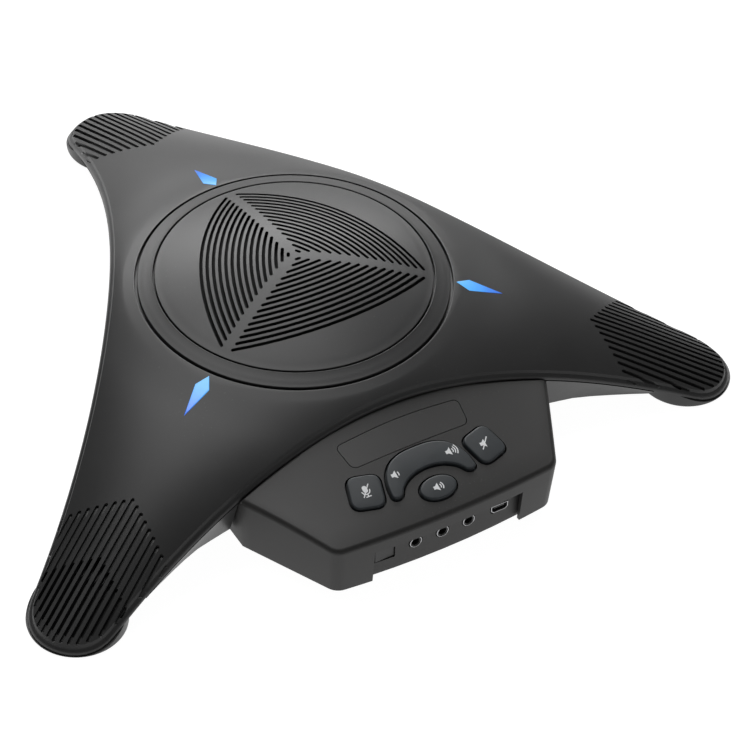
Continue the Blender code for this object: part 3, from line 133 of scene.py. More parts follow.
def new_object(name: str, mesh: bpy.types.Mesh) -> bpy.types.Object:
    """Puts a mesh in the scene as an object of the same name."""
    mesh.name = name
    item = bpy.data.objects.new(name, mesh)
    bpy.context.scene.collection.objects.link(item)
    return item


def tidy_mesh(shape: bmesh.types.BMesh, name: str) -> bpy.types.Mesh:
    """Merges doubles, turns faces outwards and stores a bmesh.

    Args:
        shape: the working mesh, which is freed.
        name: name of the new mesh.

    Returns:
        The stored mesh.
    """
    bmesh.ops.remove_doubles(shape, verts=shape.verts, dist=1e-7)
    bmesh.ops.recalc_face_normals(shape, faces=shape.faces)
    mesh = bpy.data.meshes.new(name)
    shape.to_mesh(mesh)
    shape.free()
    return mesh


def loft(name: str, loops: list[list[Place]], ring: bool = False) -> bpy.types.Mesh:
    """Skins loops of equal length into a closed solid.

    Args:
        name: name of the mesh.
        loops: cross-section loops in order.
        ring: joins the last loop to the first instead of closing both ends.

    Returns:
        A closed mesh with its faces outwards.
    """
    shape = bmesh.new()
    rows = [[shape.verts.new(point) for point in loop] for loop in loops]
    pairs = list(zip(rows, rows[1:])) + ([(rows[-1], rows[0])] if ring else [])
    for low, high in pairs:
        for j in range(len(low)):
            k = (j + 1) % len(low)
            shape.faces.new((low[j], low[k], high[k], high[j]))
    if not ring:
        shape.faces.new(rows[0])
        shape.faces.new(rows[-1])
    return tidy_mesh(shape, name)


def turned(name: str, profile: list[Point], place: Place = (0, 0, 0), steps: int = 96,
           axis: Place = (0, 0, 1)) -> bpy.types.Mesh:
    """Turns a closed profile of (radius, height) points about an axis through a place.

    Args:
        name: name of the mesh.
        profile: corners of the cross-section; those on the axis have radius 0.
        place: where the axis's zero height lies.
        steps: number of facets round the axis.
        axis: direction of the axis.

    Returns:
        A closed mesh with its faces outwards.
    """
    shape = bmesh.new()
    ring = [shape.verts.new((radius, 0, height)) for radius, height in profile]
    edges = [shape.edges.new(pair) for pair in zip(ring, ring[1:])]
    if profile[0][0] > 0 or profile[-1][0] > 0:
        edges.append(shape.edges.new((ring[-1], ring[0])))
    bmesh.ops.spin(shape, geom=ring + edges, axis=(0, 0, 1), cent=(0, 0, 0), steps=steps, angle=math.tau)
    bmesh.ops.remove_doubles(shape, verts=shape.verts, dist=0.003 * MM)
    spare = [edge for edge in shape.edges if not edge.link_faces]
    bmesh.ops.delete(shape, geom=spare, context="EDGES")
    mesh = tidy_mesh(shape, name)
    turn = Vector((0, 0, 1)).rotation_difference(Vector(axis))
    mesh.transform(Matrix.Translation(place) @ turn.to_matrix().to_4x4())
    return mesh


def prism(name: str, outline: list[Point], low: float, high: float,
          matrix: Matrix = Matrix.Identity(4)) -> bpy.types.Mesh:
    """Upright solid over an outline, then placed by a matrix.

    Args:
        name: name of the mesh.
        outline: corners of the plan.
        low: height of the bottom.
        high: height of the top.
        matrix: where the solid goes.

    Returns:
        A closed mesh.
    """
    mesh = loft(name, [[(x, y, low) for x, y in outline], [(x, y, high) for x, y in outline]])
    mesh.transform(matrix)
    return mesh


def rounded_rim(height: float, radius: float, steps: int = 5) -> list[Point]:
    """Insets and heights of a quarter-round that ends at a height, from its upright side to its top."""
    return [(radius * (1 - math.cos(angle)), height - radius * (1 - math.sin(angle)))
            for angle in spread(0.0, math.pi / 2, steps)]


def carve(target: bpy.types.Object, tool: bpy.types.Object, operation: str = "DIFFERENCE",
          overlapping: bool = False) -> None:
    """Applies an exact Boolean to an object and removes the tool.

    Args:
        target: the object that changes.
        tool: the object that cuts or joins it.
        operation: DIFFERENCE, UNION or INTERSECT.
        overlapping: whether the tool's own pieces overlap each other.
    """
    modifier = target.modifiers.new("carve", "BOOLEAN")
    modifier.operation = operation
    modifier.object = tool
    modifier.solver = "EXACT"
    modifier.use_self = overlapping
    apply_modifiers(target)
    bpy.data.objects.remove(tool, do_unlink=True)
    shape = bmesh.new()
    shape.from_mesh(target.data)
    bmesh.ops.dissolve_degenerate(shape, edges=shape.edges, dist=0.0004 * MM)
    shape.to_mesh(target.data)
    shape.free()


def apply_modifiers(item: bpy.types.Object) -> None:
    """Replaces an object's mesh by its evaluated one and clears its modifiers."""
    graph = bpy.context.evaluated_depsgraph_get()
    mesh = bpy.data.meshes.new_from_object(item.evaluated_get(graph))
    item.modifiers.clear()
    item.data = mesh


def shade(item: bpy.types.Object, degrees: float = 32.0) -> None:
    """Smooth shading with sharp edges over an angle."""
    item.data.shade_smooth()
    item.data.set_sharp_from_angle(angle=math.radians(degrees))


def keep_smooth(item: bpy.types.Object, form: bpy.types.Mesh, reach: float = 0.03 * MM) -> None:
    """Gives the faces of a carved piece that lie on its uncarved form the form's own smooth normals.

    Args:
        item: the carved piece.
        form: its mesh before carving, already shaded.
        reach: how far from the form a face may lie.
    """
    tree = BVHTree.FromPolygons([v.co for v in form.vertices], [tuple(p.vertices) for p in form.polygons])
    corners = [Vector(n.vector) for n in form.corner_normals]
    mesh = item.data
    normals = [Vector((0, 0, 0))] * len(mesh.loops)
    for face in mesh.polygons:
        spot, facing, _, distance = tree.find_nearest(face.center)
        if distance is None or distance > reach * 20 or facing.dot(face.normal) < 0.8:
            continue
        for loop_index in face.loop_indices:
            point = mesh.vertices[mesh.loops[loop_index].vertex_index].co
            spot, facing, index, distance = tree.find_nearest(point.lerp(face.center, 0.02))
            if distance > reach * 20 or facing.dot(face.normal) < 0.7:
                continue
            source = form.polygons[index]
            weights = poly_3d_calc([form.vertices[v].co for v in source.vertices], spot)
            normal = Vector((0, 0, 0))
            for weight, source_loop in zip(weights, source.loop_indices):
                normal += corners[source_loop] * weight
            normals[loop_index] = normal.normalized()
    mesh.normals_split_custom_set(normals)


# ---------------------------------------------------------------- geometry nodes

class GeometryTree:
    """A Geometry Nodes group with named inputs, built one node at a time."""

    def __init__(self, name: str, inputs: dict[str, str]) -> None:
        """Starts a group.

        Args:
            name: name of the group.
            inputs: each input's name and socket type, after the carrier geometry.
        """
        self.group = bpy.data.node_groups.new(name, "GeometryNodeTree")
        face = self.group.interface
        face.new_socket("Carrier", in_out="INPUT", socket_type="NodeSocketGeometry")
        self.identifiers = {}
        for label, kind in inputs.items():
            socket = face.new_socket(label, in_out="INPUT", socket_type=kind)
            self.identifiers[label] = socket.identifier
        face.new_socket("Result", in_out="OUTPUT", socket_type="NodeSocketGeometry")
        self.inputs = self.group.nodes.new("NodeGroupInput")
        self.result = self.group.nodes.new("NodeGroupOutput")

    def value(self, label: str) -> bpy.types.NodeSocket:
        """The group's own input socket of a name."""
        return self.inputs.outputs[label]

    def node(self, kind: str, settings: dict[str, object] | None = None,
             sockets: dict[str, object] | None = None) -> bpy.types.Node:
        """Adds a node.

        Args:
            kind: the node's type.
            settings: its properties, which are set first.
            sockets: values or links of its inputs, by name.

        Returns:
            The node.
        """
        node = self.group.nodes.new(kind)
        for key, value in (settings or {}).items():
            setattr(node, key, value)
        for key, value in (sockets or {}).items():
            for item in value if isinstance(value, list) else [value]:
                if isinstance(item, bpy.types.NodeSocket):
                    self.group.links.new(item, node.inputs[key])
                else:
                    node.inputs[key].default_value = item
        return node

    def end(self, geometry: bpy.types.NodeSocket) -> None:
        """Realizes the instances, sets the material and joins the group's output."""
        real = self.node("GeometryNodeRealizeInstances", sockets={"Geometry": geometry})
        dressed = self.node("GeometryNodeSetMaterial", sockets={"Geometry": real.outputs[0],
                                                                "Material": self.value("Material")})
        self.group.links.new(dressed.outputs[0], self.result.inputs["Result"])

    def grow(self, name: str, carrier: bpy.types.Mesh, values: dict[str, object]) -> bpy.types.Object:
        """Runs the group on a carrier mesh and keeps the result as a plain mesh.

        Args:
            name: name of the new object.
            carrier: points or lines that the group works on.
            values: the group's inputs by name.

        Returns:
            The finished object.
        """
        item = new_object(name, carrier)
        modifier = item.modifiers.new("grow", "NODES")
        modifier.node_group = self.group
        for label, value in values.items():
            modifier[self.identifiers[label]] = value
        apply_modifiers(item)
        return item


def slot_tree() -> GeometryTree:
    """Group that turns each line of a carrier into a slot-shaped solid with round ends."""
    tree = GeometryTree("round_ended_slots", {"Width": "NodeSocketFloat", "Depth": "NodeSocketFloat",
                                              "Ends": "NodeSocketInt", "Material": "NodeSocketMaterial"})
    lines = tree.node("GeometryNodeMeshToCurve", sockets={"Mesh": tree.value("Carrier")})
    upright = tree.node("GeometryNodeSetCurveNormal", sockets={"Curve": lines.outputs[0]})
    set_upright(upright)
    section = tree.node("GeometryNodeCurvePrimitiveQuadrilateral",
                        sockets={"Width": tree.value("Width"), "Height": tree.value("Depth")})
    bars = tree.node("GeometryNodeCurveToMesh", sockets={
        "Curve": upright.outputs[0], "Profile Curve": section.outputs[0], "Fill Caps": True})
    half = tree.node("ShaderNodeMath", {"operation": "MULTIPLY"}, {"Value": tree.value("Width")})
    half.inputs[1].default_value = 0.5
    end = tree.node("GeometryNodeMeshCylinder", sockets={
        "Vertices": tree.value("Ends"), "Radius": half.outputs[0], "Depth": tree.value("Depth")})
    tips = tree.node("GeometryNodeCurveEndpointSelection")
    ends = tree.node("GeometryNodeInstanceOnPoints", sockets={
        "Points": lines.outputs[0], "Selection": tips.outputs[0], "Instance": end.outputs["Mesh"]})
    both = tree.node("GeometryNodeJoinGeometry", sockets={"Geometry": [bars.outputs[0], ends.outputs[0]]})
    tree.end(both.outputs[0])
    return tree


def set_upright(node: bpy.types.Node) -> None:
    """Chooses upright normals on a Set Curve Normal node, which keeps its mode as a property or a socket."""
    if hasattr(node, "mode"):
        node.mode = "Z_UP"
    else:
        node.inputs["Mode"].default_value = "Z Up"


def copy_tree() -> GeometryTree:
    """Group that puts a copy of a unit object at every point of a carrier."""
    tree = GeometryTree("copies_at_points", {"Unit": "NodeSocketObject", "Material": "NodeSocketMaterial"})
    unit = tree.node("GeometryNodeObjectInfo", sockets={"Object": tree.value("Unit")})
    copies = tree.node("GeometryNodeInstanceOnPoints", sockets={
        "Points": tree.value("Carrier"), "Instance": unit.outputs["Geometry"]})
    tree.end(copies.outputs[0])
    return tree


def line_carrier(name: str, lines: list[list[Place]]) -> bpy.types.Mesh:
    """Mesh of open lines for a Geometry Nodes group."""
    points, edges = [], []
    for line in lines:
        first = len(points)
        points += line
        edges += [(i, i + 1) for i in range(first, len(points) - 1)]
    mesh = bpy.data.meshes.new(name)
    mesh.from_pydata(points, edges, [])
    return mesh


# ---------------------------------------------------------------- shader maths

class Signal:
    """A shader socket that takes part in Python expressions of numbers."""

    def __init__(self, tree: "ShaderTree", socket: bpy.types.NodeSocket) -> None:
        """Wraps an output socket of a tree."""
        self.tree = tree
        self.socket = socket

    def _maths(self, operation: str, *values: object) -> "Signal":
        """Adds a Math node over values that may be signals or numbers."""
        return self.tree.node("ShaderNodeMath", {"operation": operation}, dict(enumerate(values)))

    def __add__(self, other: object) -> "Signal":
        """Sum."""
        return self._maths("ADD", self, other)

    def __radd__(self, other: object) -> "Signal":
        """Sum with a number on the left."""
        return self._maths("ADD", other, self)

    def __sub__(self, other: object) -> "Signal":
        """Difference."""
        return self._maths("SUBTRACT", self, other)

    def __rsub__(self, other: object) -> "Signal":
        """Difference from a number on the left."""
        return self._maths("SUBTRACT", other, self)

    def __mul__(self, other: object) -> "Signal":
        """Product."""
        return self._maths("MULTIPLY", self, other)

    def __rmul__(self, other: object) -> "Signal":
        """Product with a number on the left."""
        return self._maths("MULTIPLY", other, self)

    def __truediv__(self, other: object) -> "Signal":
        """Quotient."""
        return self._maths("DIVIDE", self, other)

    def __rtruediv__(self, other: object) -> "Signal":
        """Quotient of a number on the left."""
        return self._maths("DIVIDE", other, self)

    def __pow__(self, other: object) -> "Signal":
        """Power."""
        return self._maths("POWER", self, other)

    def sine(self) -> "Signal":
        """Sine of a value in radians."""
        return self._maths("SINE", self)

    def size(self) -> "Signal":
        """Value without its sign."""
        return self._maths("ABSOLUTE", self)

    def larger(self, other: object) -> "Signal":
        """The larger of two values."""
        return self._maths("MAXIMUM", self, other)

    def over(self, low: float, high: float) -> "Signal":
        """Smooth step from 0 at one value to 1 at another."""
        return self.tree.node("ShaderNodeMapRange", {"interpolation_type": "SMOOTHSTEP"},
                              {"Value": self, "From Min": low, "From Max": high})


class ShaderTree:
    """A material with one Principled shader and a method that adds any other node."""

    def __init__(self, name: str) -> None:
        """Starts an empty material of a name."""
        self.material = bpy.data.materials.new(name)
        self.material.use_nodes = True
        self.nodes = self.material.node_tree.nodes
        self.nodes.clear()
        self.output = self.nodes.new("ShaderNodeOutputMaterial")
        self.shader = self.nodes.new("ShaderNodeBsdfPrincipled")
        self.join(self.shader.outputs[0], self.output.inputs["Surface"])

    def join(self, start: bpy.types.NodeSocket, end: bpy.types.NodeSocket) -> None:
        """Links two sockets."""
        self.material.node_tree.links.new(start, end)

    def node(self, kind: str, settings: dict[str, object] | None = None,
             sockets: dict[object, object] | None = None, output: object = 0) -> Signal:
        """Adds a node.

        Args:
            kind: the node's type.
            settings: its properties, set first; "stops" is a ramp's list of (place, colour).
            sockets: values or signals of its inputs, by name or number.
            output: which output to return.

        Returns:
            The chosen output as a signal.
        """
        node = self.nodes.new(kind)
        for key, value in (settings or {}).items():
            if key == "stops":
                self._stops(node.color_ramp, value)
            else:
                setattr(node, key, value)
        for key, value in (sockets or {}).items():
            if isinstance(value, Signal):
                self.join(value.socket, node.inputs[key])
            else:
                node.inputs[key].default_value = value
        return Signal(self, node.outputs[output])

    @staticmethod
    def _stops(ramp: bpy.types.ColorRamp, stops: list[tuple[float, Colour]]) -> None:
        """Sets a ramp's stops."""
        while len(ramp.elements) < len(stops):
            ramp.elements.new(0.5)
        for element, (place, colour) in zip(ramp.elements, stops):
            element.position = place
            element.color = (*colour, 1.0)

    def place(self) -> Signal:
        """Object coordinates, which are metres in the object's frame."""
        return self.node("ShaderNodeTexCoord", output="Object")

    def axes(self) -> tuple[Signal, Signal, Signal]:
        """The three object coordinates as numbers."""
        split = self.node("ShaderNodeSeparateXYZ", sockets={0: self.place()}).socket.node
        return tuple(Signal(self, split.outputs[i]) for i in range(3))

    def noise(self, scale: float, detail: float = 2.0, rough: float = 0.5) -> Signal:
        """Fractal noise with a number of lumps per metre."""
        return self.node("ShaderNodeTexNoise", sockets={
            "Vector": self.place(), "Scale": scale, "Detail": detail, "Roughness": rough})

    def blend(self, factor: object, first: object, second: object) -> Signal:
        """Mixes two colours."""
        colours = [(*c, 1.0) if isinstance(c, tuple) else c for c in (first, second)]
        return self.node("ShaderNodeMix", {"data_type": "RGBA"},
                         {0: factor, 6: colours[0], 7: colours[1]}, output=2)

    def set(self, **sockets: object) -> None:
        """Sets sockets of the Principled shader; a name's underscores stand for spaces."""
        for key, value in sockets.items():
            socket = self.shader.inputs[key.replace("_", " ")]
            if isinstance(value, Signal):
                self.join(value.socket, socket)
            else:
                socket.default_value = (*value, 1.0) if isinstance(value, tuple) else value

    def relief(self, height: Signal, depth: float) -> None:
        """Feeds a height, in units of a depth, to the shader's normal."""
        bump = self.node("ShaderNodeBump", sockets={"Height": height, "Distance": depth})
        self.join(bump.socket, self.shader.inputs["Normal"])


def scaled(colour: Colour, factor: float) -> Colour:
    """A colour made lighter or darker by a factor."""
    return tuple(c * factor for c in colour)


class Texture(Enum):
    """How coarse the sparked texture of a moulding is."""

    SATIN = 5200.0
    FINE = 3000.0
    COARSE = 1700.0


@dataclass(frozen=True)
class MouldedPlastic:
    """Moulded plastic with a sparked texture, slight cloudiness and rubbed high spots."""

    name: str
    colour: Colour
    roughness: float = 0.42
    texture: Texture = Texture.SATIN
    depth: float = 0.012 * MM
    gloss: float = 0.5

    def make(self) -> bpy.types.Material:
        """Builds the material."""
        tree = ShaderTree(self.name)
        grain = tree.noise(self.texture.value, 2.0, 0.6)
        cloud = tree.noise(22.0, 3.0, 0.55)
        dust = tree.noise(900.0, 1.0).over(0.66, 0.8) * cloud.over(0.45, 0.7)
        darker = scaled(self.colour, 0.86)
        lighter = scaled(self.colour, 1.12)
        base = tree.blend(cloud.over(0.3, 0.7), darker, lighter)
        base = tree.blend(grain.over(0.45, 0.8) * 0.35, base, scaled(self.colour, 1.5))
        tree.set(Base_Color=tree.blend(dust * 0.12, base, (0.2, 0.195, 0.19)),
                 Roughness=self.roughness + (cloud - 0.5) * 0.1 + (grain - 0.5) * 0.12 + dust * 0.1,
                 Specular_IOR_Level=self.gloss)
        tree.relief(grain, self.depth)
        return tree.material


@dataclass(frozen=True)
class SoftRubber:
    """Matt silicone or rubber with a powdery surface and faint mould flow."""

    name: str
    colour: Colour
    roughness: float = 0.62
    sheen: float = 0.08

    def make(self) -> bpy.types.Material:
        """Builds the material."""
        tree = ShaderTree(self.name)
        powder = tree.noise(4200.0, 3.0, 0.7)
        flow = tree.noise(160.0, 2.0)
        wear = tree.noise(700.0, 2.0).over(0.55, 0.8)
        patches = flow.over(0.3, 0.7) * 0.6 + wear * 0.4
        tree.set(Base_Color=tree.blend(patches, scaled(self.colour, 0.85), scaled(self.colour, 1.2)),
                 Roughness=self.roughness + (powder - 0.5) * 0.14 + wear * 0.06,
                 Sheen_Weight=self.sheen, Sheen_Roughness=0.5)
        tree.relief(powder + flow * 0.4, 0.01 * MM)
        return tree.material


@dataclass(frozen=True)
class PadPrint:
    """Thin pale ink with slightly uneven cover."""

    name: str = "symbol ink"
    colour: Colour = (0.78, 0.79, 0.8)

    def make(self) -> bpy.types.Material:
        """Builds the material."""
        tree = ShaderTree(self.name)
        cover = tree.noise(3500.0, 3.0, 0.7)
        tree.set(Base_Color=tree.blend(cover.over(0.5, 0.85) * 0.35, self.colour, (0.45, 0.46, 0.47)),
                 Roughness=0.5 + (cover - 0.5) * 0.2)
        tree.relief(cover, 0.004 * MM)
        return tree.material


@dataclass(frozen=True)
class LightLens:
    """Lit blue light pipe, palest over its lamp and deeper towards its outer point."""

    name: str
    axis_y: float
    lamp: float
    point: float
    strength: float = 0.9

    def make(self) -> bpy.types.Material:
        """Builds the material."""
        tree = ShaderTree(self.name)
        x, y, _ = tree.axes()
        away = (x ** 2 + (y - self.axis_y) ** 2) ** 0.5
        share = ((away - self.lamp) / (self.point - self.lamp)).over(0.0, 1.0)
        mottle = tree.noise(450.0, 3.0, 0.6)
        glow = tree.node("ShaderNodeValToRGB", {"stops": [
            (0.0, (0.12, 0.5, 1.0)), (0.5, (0.08, 0.36, 0.98)), (1.0, (0.05, 0.17, 0.78))]},
            {0: share + (mottle - 0.5) * 0.35})
        tree.set(Base_Color=tree.blend(mottle, (0.012, 0.05, 0.13), (0.02, 0.08, 0.2)),
                 Roughness=0.18 + mottle * 0.08, Emission_Color=glow, Emission_Strength=self.strength,
                 Coat_Weight=0.4, Coat_Roughness=0.08)
        tree.relief(tree.noise(2500.0), 0.004 * MM)
        return tree.material


@dataclass(frozen=True)
class BareMetal:
    """Metal with fine scratches, a roughness that wanders and a few darker spots."""

    name: str
    colour: Colour
    roughness: float = 0.25
    brushed: bool = False

    def make(self) -> bpy.types.Material:
        """Builds the material."""
        tree = ShaderTree(self.name)
        scale = (900.0, 900.0, 14000.0) if self.brushed else (6000.0, 6000.0, 6000.0)
        stretched = tree.node("ShaderNodeMapping", sockets={"Vector": tree.place(), "Scale": scale})
        lines = tree.node("ShaderNodeTexNoise", sockets={"Vector": stretched, "Scale": 1.0, "Detail": 2.0})
        tarnish = tree.noise(380.0, 3.0, 0.6)
        spots, dulled = tarnish.over(0.5, 0.85) * 0.5, tarnish.over(0.5, 0.9) * 0.12
        tree.set(Base_Color=tree.blend(spots, self.colour, scaled(self.colour, 0.62)),
                 Metallic=1.0, Roughness=self.roughness + (lines - 0.5) * 0.16 + dulled)
        tree.relief(lines, 0.003 * MM)
        return tree.material


@dataclass(frozen=True)
class WovenCloth:
    """Black acoustic cloth woven from round threads."""

    name: str = "acoustic cloth"
    colour: Colour = (0.006, 0.006, 0.0065)
    thread: float = 0.35 * MM

    def make(self) -> bpy.types.Material:
        """Builds the material."""
        tree = ShaderTree(self.name)
        x, y, _ = tree.axes()
        turn = math.pi / self.thread
        warp, weft = (x * turn).sine().size(), (y * turn).sine().size()
        weave = warp.larger(weft)
        tree.set(Base_Color=tree.blend(weave.over(0.4, 1.0), scaled(self.colour, 0.4), self.colour),
                 Roughness=0.9 + (tree.noise(2000.0) - 0.5) * 0.1, Sheen_Weight=0.1)
        tree.relief(weave, 0.08 * MM)
        return tree.material


@dataclass(frozen=True)
class BoardMask:
    """Printed board: green mask over faint copper tracks."""

    name: str = "solder mask"

    def make(self) -> bpy.types.Material:
        """Builds the material."""
        tree = ShaderTree(self.name)
        x, y, _ = tree.axes()
        wander = tree.noise(60.0, 0.0) * 6.0
        across = (y * 1500.0 + wander).sine().over(0.8, 0.88)
        tracks = (x * 1800.0 + wander).sine().over(0.75, 0.85).larger(across)
        tree.set(Base_Color=tree.blend(tracks, (0.006, 0.07, 0.03), (0.02, 0.17, 0.07)),
                 Roughness=0.32 + tree.noise(800.0) * 0.1)
        tree.relief(tracks, 0.03 * MM)
        return tree.material


@dataclass(frozen=True)
class PressedPaper:
    """Coated paper pulp with short fibres."""

    name: str = "coated paper"
    colour: Colour = (0.02, 0.02, 0.021)

    def make(self) -> bpy.types.Material:
        """Builds the material."""
        tree = ShaderTree(self.name)
        fibre = tree.noise(1500.0, 4.0, 0.75)
        tree.set(Base_Color=tree.blend(fibre.over(0.4, 0.7), self.colour, scaled(self.colour, 2.2)),
                 Roughness=0.8 + (fibre - 0.5) * 0.2)
        tree.relief(fibre, 0.05 * MM)
        return tree.material


@dataclass(frozen=True)
class StudioPaper:
    """Seamless white paper that reads as an even bright ground."""

    name: str = "studio paper"
    glow: float = 0.97

    def make(self) -> bpy.types.Material:
        """Builds the material."""
        tree = ShaderTree(self.name)
        tooth = tree.noise(700.0, 2.0)
        tree.set(Base_Color=tree.blend(tooth.over(0.3, 0.7), (0.2, 0.2, 0.2), (0.24, 0.24, 0.24)),
                 Roughness=0.95, Specular_IOR_Level=0.1, Emission_Color=(1.0, 1.0, 1.0),
                 Emission_Strength=self.glow)
        return tree.material


class Finishes:
    """Every finish of the object, each made once."""

    def __init__(self, axis_y: float) -> None:
        """Makes the materials.

        Args:
            axis_y: plan place of the speaker's axis.
        """
        self.shell = MouldedPlastic("charcoal shell plastic", (0.013, 0.013, 0.0132), 0.4).make()
        self.console = MouldedPlastic("charcoal console plastic", (0.0105, 0.01, 0.0095), 0.5, Texture.FINE,
                                      0.02 * MM).make()
        self.panel = MouldedPlastic("port panel plastic", (0.014, 0.0135, 0.013), 0.55, Texture.FINE).make()
        self.black = MouldedPlastic("black moulded plastic", (0.008, 0.008, 0.008), 0.45,
                                    Texture.COARSE).make()
        self.key = SoftRubber("blue-grey key rubber", (0.014, 0.019, 0.023), 0.5).make()
        self.rubber = SoftRubber("black foot rubber", (0.012, 0.012, 0.012), 0.75, 0.15).make()
        self.ink = PadPrint().make()
        self.lens = LightLens("lit light pipe", axis_y, 68.0 * MM, 85.5 * MM).make()
        self.plated = BareMetal("nickel plate", (0.45, 0.45, 0.46), 0.32).make()
        self.steel = BareMetal("zinc plated steel", (0.42, 0.42, 0.43), 0.38, True).make()
        self.magnet = BareMetal("sintered ferrite", (0.05, 0.05, 0.052), 0.6).make()
        self.cloth = WovenCloth().make()
        self.paper = PressedPaper().make()
        self.board = BoardMask().make()
        self.film = MouldedPlastic("blank label film", (0.014, 0.0135, 0.013), 0.46, Texture.SATIN).make()
        self.wire = SoftRubber("wire insulation", (0.015, 0.015, 0.015), 0.4, 0.0).make()


def place_piece(item: bpy.types.Object, body: str, material: bpy.types.Material,
                replaces: tuple[str, ...] = ()) -> None:
    """Dresses a finished piece and joins it to a body of the frame.

    Args:
        item: the piece.
        body: name of the body that it moves with.
        material: its finish.
        replaces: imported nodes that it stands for.
    """
    item.data.materials.clear()
    item.data.materials.append(material)
    for face in item.data.polygons:
        face.material_index = 0
    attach(item, body)
    if replaces:
        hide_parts(*replaces)
    LOG.info("%s rides on %s with %d faces", item.name, body, len(item.data.polygons))


# ---------------------------------------------------------------- the body's form

@dataclass(frozen=True)
class BodyForm:
    """Three-armed plan and falling top that the outer pieces share, measured from the speaker's axis."""

    axis_y: float
    height: float = 65.0 * MM
    mid_side: float = 76.0 * MM
    side_arc: float = 391.0 * MM
    tip_radius: float = 19.2 * MM
    dome_radius: float = 84.5 * MM
    dome_drop: float = 19.1 * MM
    dome_slope: float = 0.294
    ridge_radius: float = 182.0 * MM
    ridge_drop: float = 59.9 * MM
    ridge_slope: float = 0.46
    crown_start: float = 70.0 * MM
    crown_end: float = 12.2
    crown_growth: float = 1.3
    wall: float = 2.4 * MM
    edge_round: float = 2.2 * MM
    lip: float = 0.2 * MM
    gap: float = 0.3 * MM
    hole: float = 65.4 * MM
    tip_steps: int = 17
    side_steps: int = 44
    crowding: float = 0.35
    arms: tuple[float, ...] = (90.0, 210.0, 330.0)

    @property
    def side_place(self) -> Point:
        """Centre of a hollow side's arc, along and across the arm before it."""
        return polar(self.mid_side + self.side_arc, 60.0)

    @property
    def tip_place(self) -> float:
        """Distance of a round tip's centre."""
        x, y = self.side_place
        return x - math.sqrt((self.side_arc + self.tip_radius) ** 2 - y ** 2)

    def fall(self, radius: float) -> float:
        """Fall of the top along an arm's ridge at a radius."""
        if radius <= self.dome_radius:
            square = (4 * self.dome_drop - self.dome_radius * self.dome_slope) / (2 * self.dome_radius ** 2)
            fourth = (self.dome_radius * self.dome_slope - 2 * self.dome_drop) / (2 * self.dome_radius ** 4)
            return square * radius ** 2 + fourth * radius ** 4
        span = self.ridge_radius - self.dome_radius
        t = (radius - self.dome_radius) / span
        start = (2 * t ** 3 - 3 * t ** 2 + 1) * self.dome_drop
        start += (t ** 3 - 2 * t ** 2 + t) * span * self.dome_slope
        end = (3 * t ** 2 - 2 * t ** 3) * self.ridge_drop
        return start + end + (t ** 3 - t ** 2) * span * self.ridge_slope

    def top(self, x: float, y: float) -> float:
        """Height of the top over a plan point."""
        radius = math.hypot(x, y)
        turn = (math.degrees(math.atan2(y, x)) - 30.0) % 120.0 - 60.0
        across = radius * math.sin(math.radians(turn))
        reach = max(0.0, (radius - self.crown_start) / (self.ridge_radius - self.crown_start))
        return self.height - self.fall(radius) - self.crown_end * reach ** self.crown_growth * across ** 2

    def shares(self) -> list[float]:
        """Shares of a hollow side's arc at its points, closest together at the middle."""
        return [i / self.side_steps + self.crowding * math.sin(math.tau * i / self.side_steps) / math.tau
                for i in range(self.side_steps + 1)]

    def outline(self, inset: float = 0.0) -> list[Point]:
        """Plan of the body moved inwards by a distance."""
        points = []
        side_x, side_y = self.side_place
        half = math.degrees(math.atan2(side_y, side_x - self.tip_place))
        for degrees in self.arms:
            tip = polar(self.tip_place, degrees)
            for angle in spread(degrees - half, degrees + half, self.tip_steps):
                x, y = polar(self.tip_radius - inset, angle)
                points.append((tip[0] + x, tip[1] + y))
            side = polar(self.mid_side + self.side_arc, degrees + 60.0)
            first, last = degrees + half + 180, degrees + 300 - half
            for share in self.shares()[1:-1]:
                x, y = polar(self.side_arc + inset, first + (last - first) * share)
                points.append((side[0] + x, side[1] + y))
        return points

    def parting(self) -> list[float]:
        """Height of the cover's lower lip at each outline point."""
        return [self.top(x, y) - self.edge_round - self.lip for x, y in self.outline()]

    def circle(self, radius: float, height: float) -> list[Place]:
        """Level circle with one point in the direction of each outline point."""
        return [(*polar(radius, math.degrees(math.atan2(y, x))), height) for x, y in self.outline()]

    def roof(self, inner: float, inset: float, drop: float, rings: int) -> list[list[Place]]:
        """Loops over the top, lowered by a drop, from a circle out to the inset outline."""
        loops = []
        for share in spread(0.0, 1.0, rings):
            loop = []
            for x, y in self.outline(inset):
                radius = math.hypot(x, y)
                scale = (inner + (radius - inner) * share) / radius
                loop.append((x * scale, y * scale, self.top(x * scale, y * scale) - drop))
            loops.append(loop)
        return loops

    def level(self, inset: float, heights: list[float]) -> list[Place]:
        """Outline loop at given heights."""
        return [(x, y, z) for (x, y), z in zip(self.outline(inset), heights)]

    def over_cover(self, outset: float) -> bpy.types.Mesh:
        """Solid of the cover, its gap and everything over it, out to a distance from its outline."""
        low = [z - self.gap for z in self.parting()]
        loops = self.roof(self.hole, self.wall + self.gap, self.wall + self.gap, 12)
        loops += [self.level(self.wall + self.gap, low), self.level(-outset, low),
                  self.level(-outset, [self.height * 2] * len(low))]
        return loft("over_cover", loops)

    def settle(self, mesh: bpy.types.Mesh) -> bpy.types.Mesh:
        """Moves a mesh from the speaker's axis to its place in the frame."""
        mesh.transform(Matrix.Translation((0, self.axis_y, 0)))
        return mesh


# ---------------------------------------------------------------- cover, ring and grille

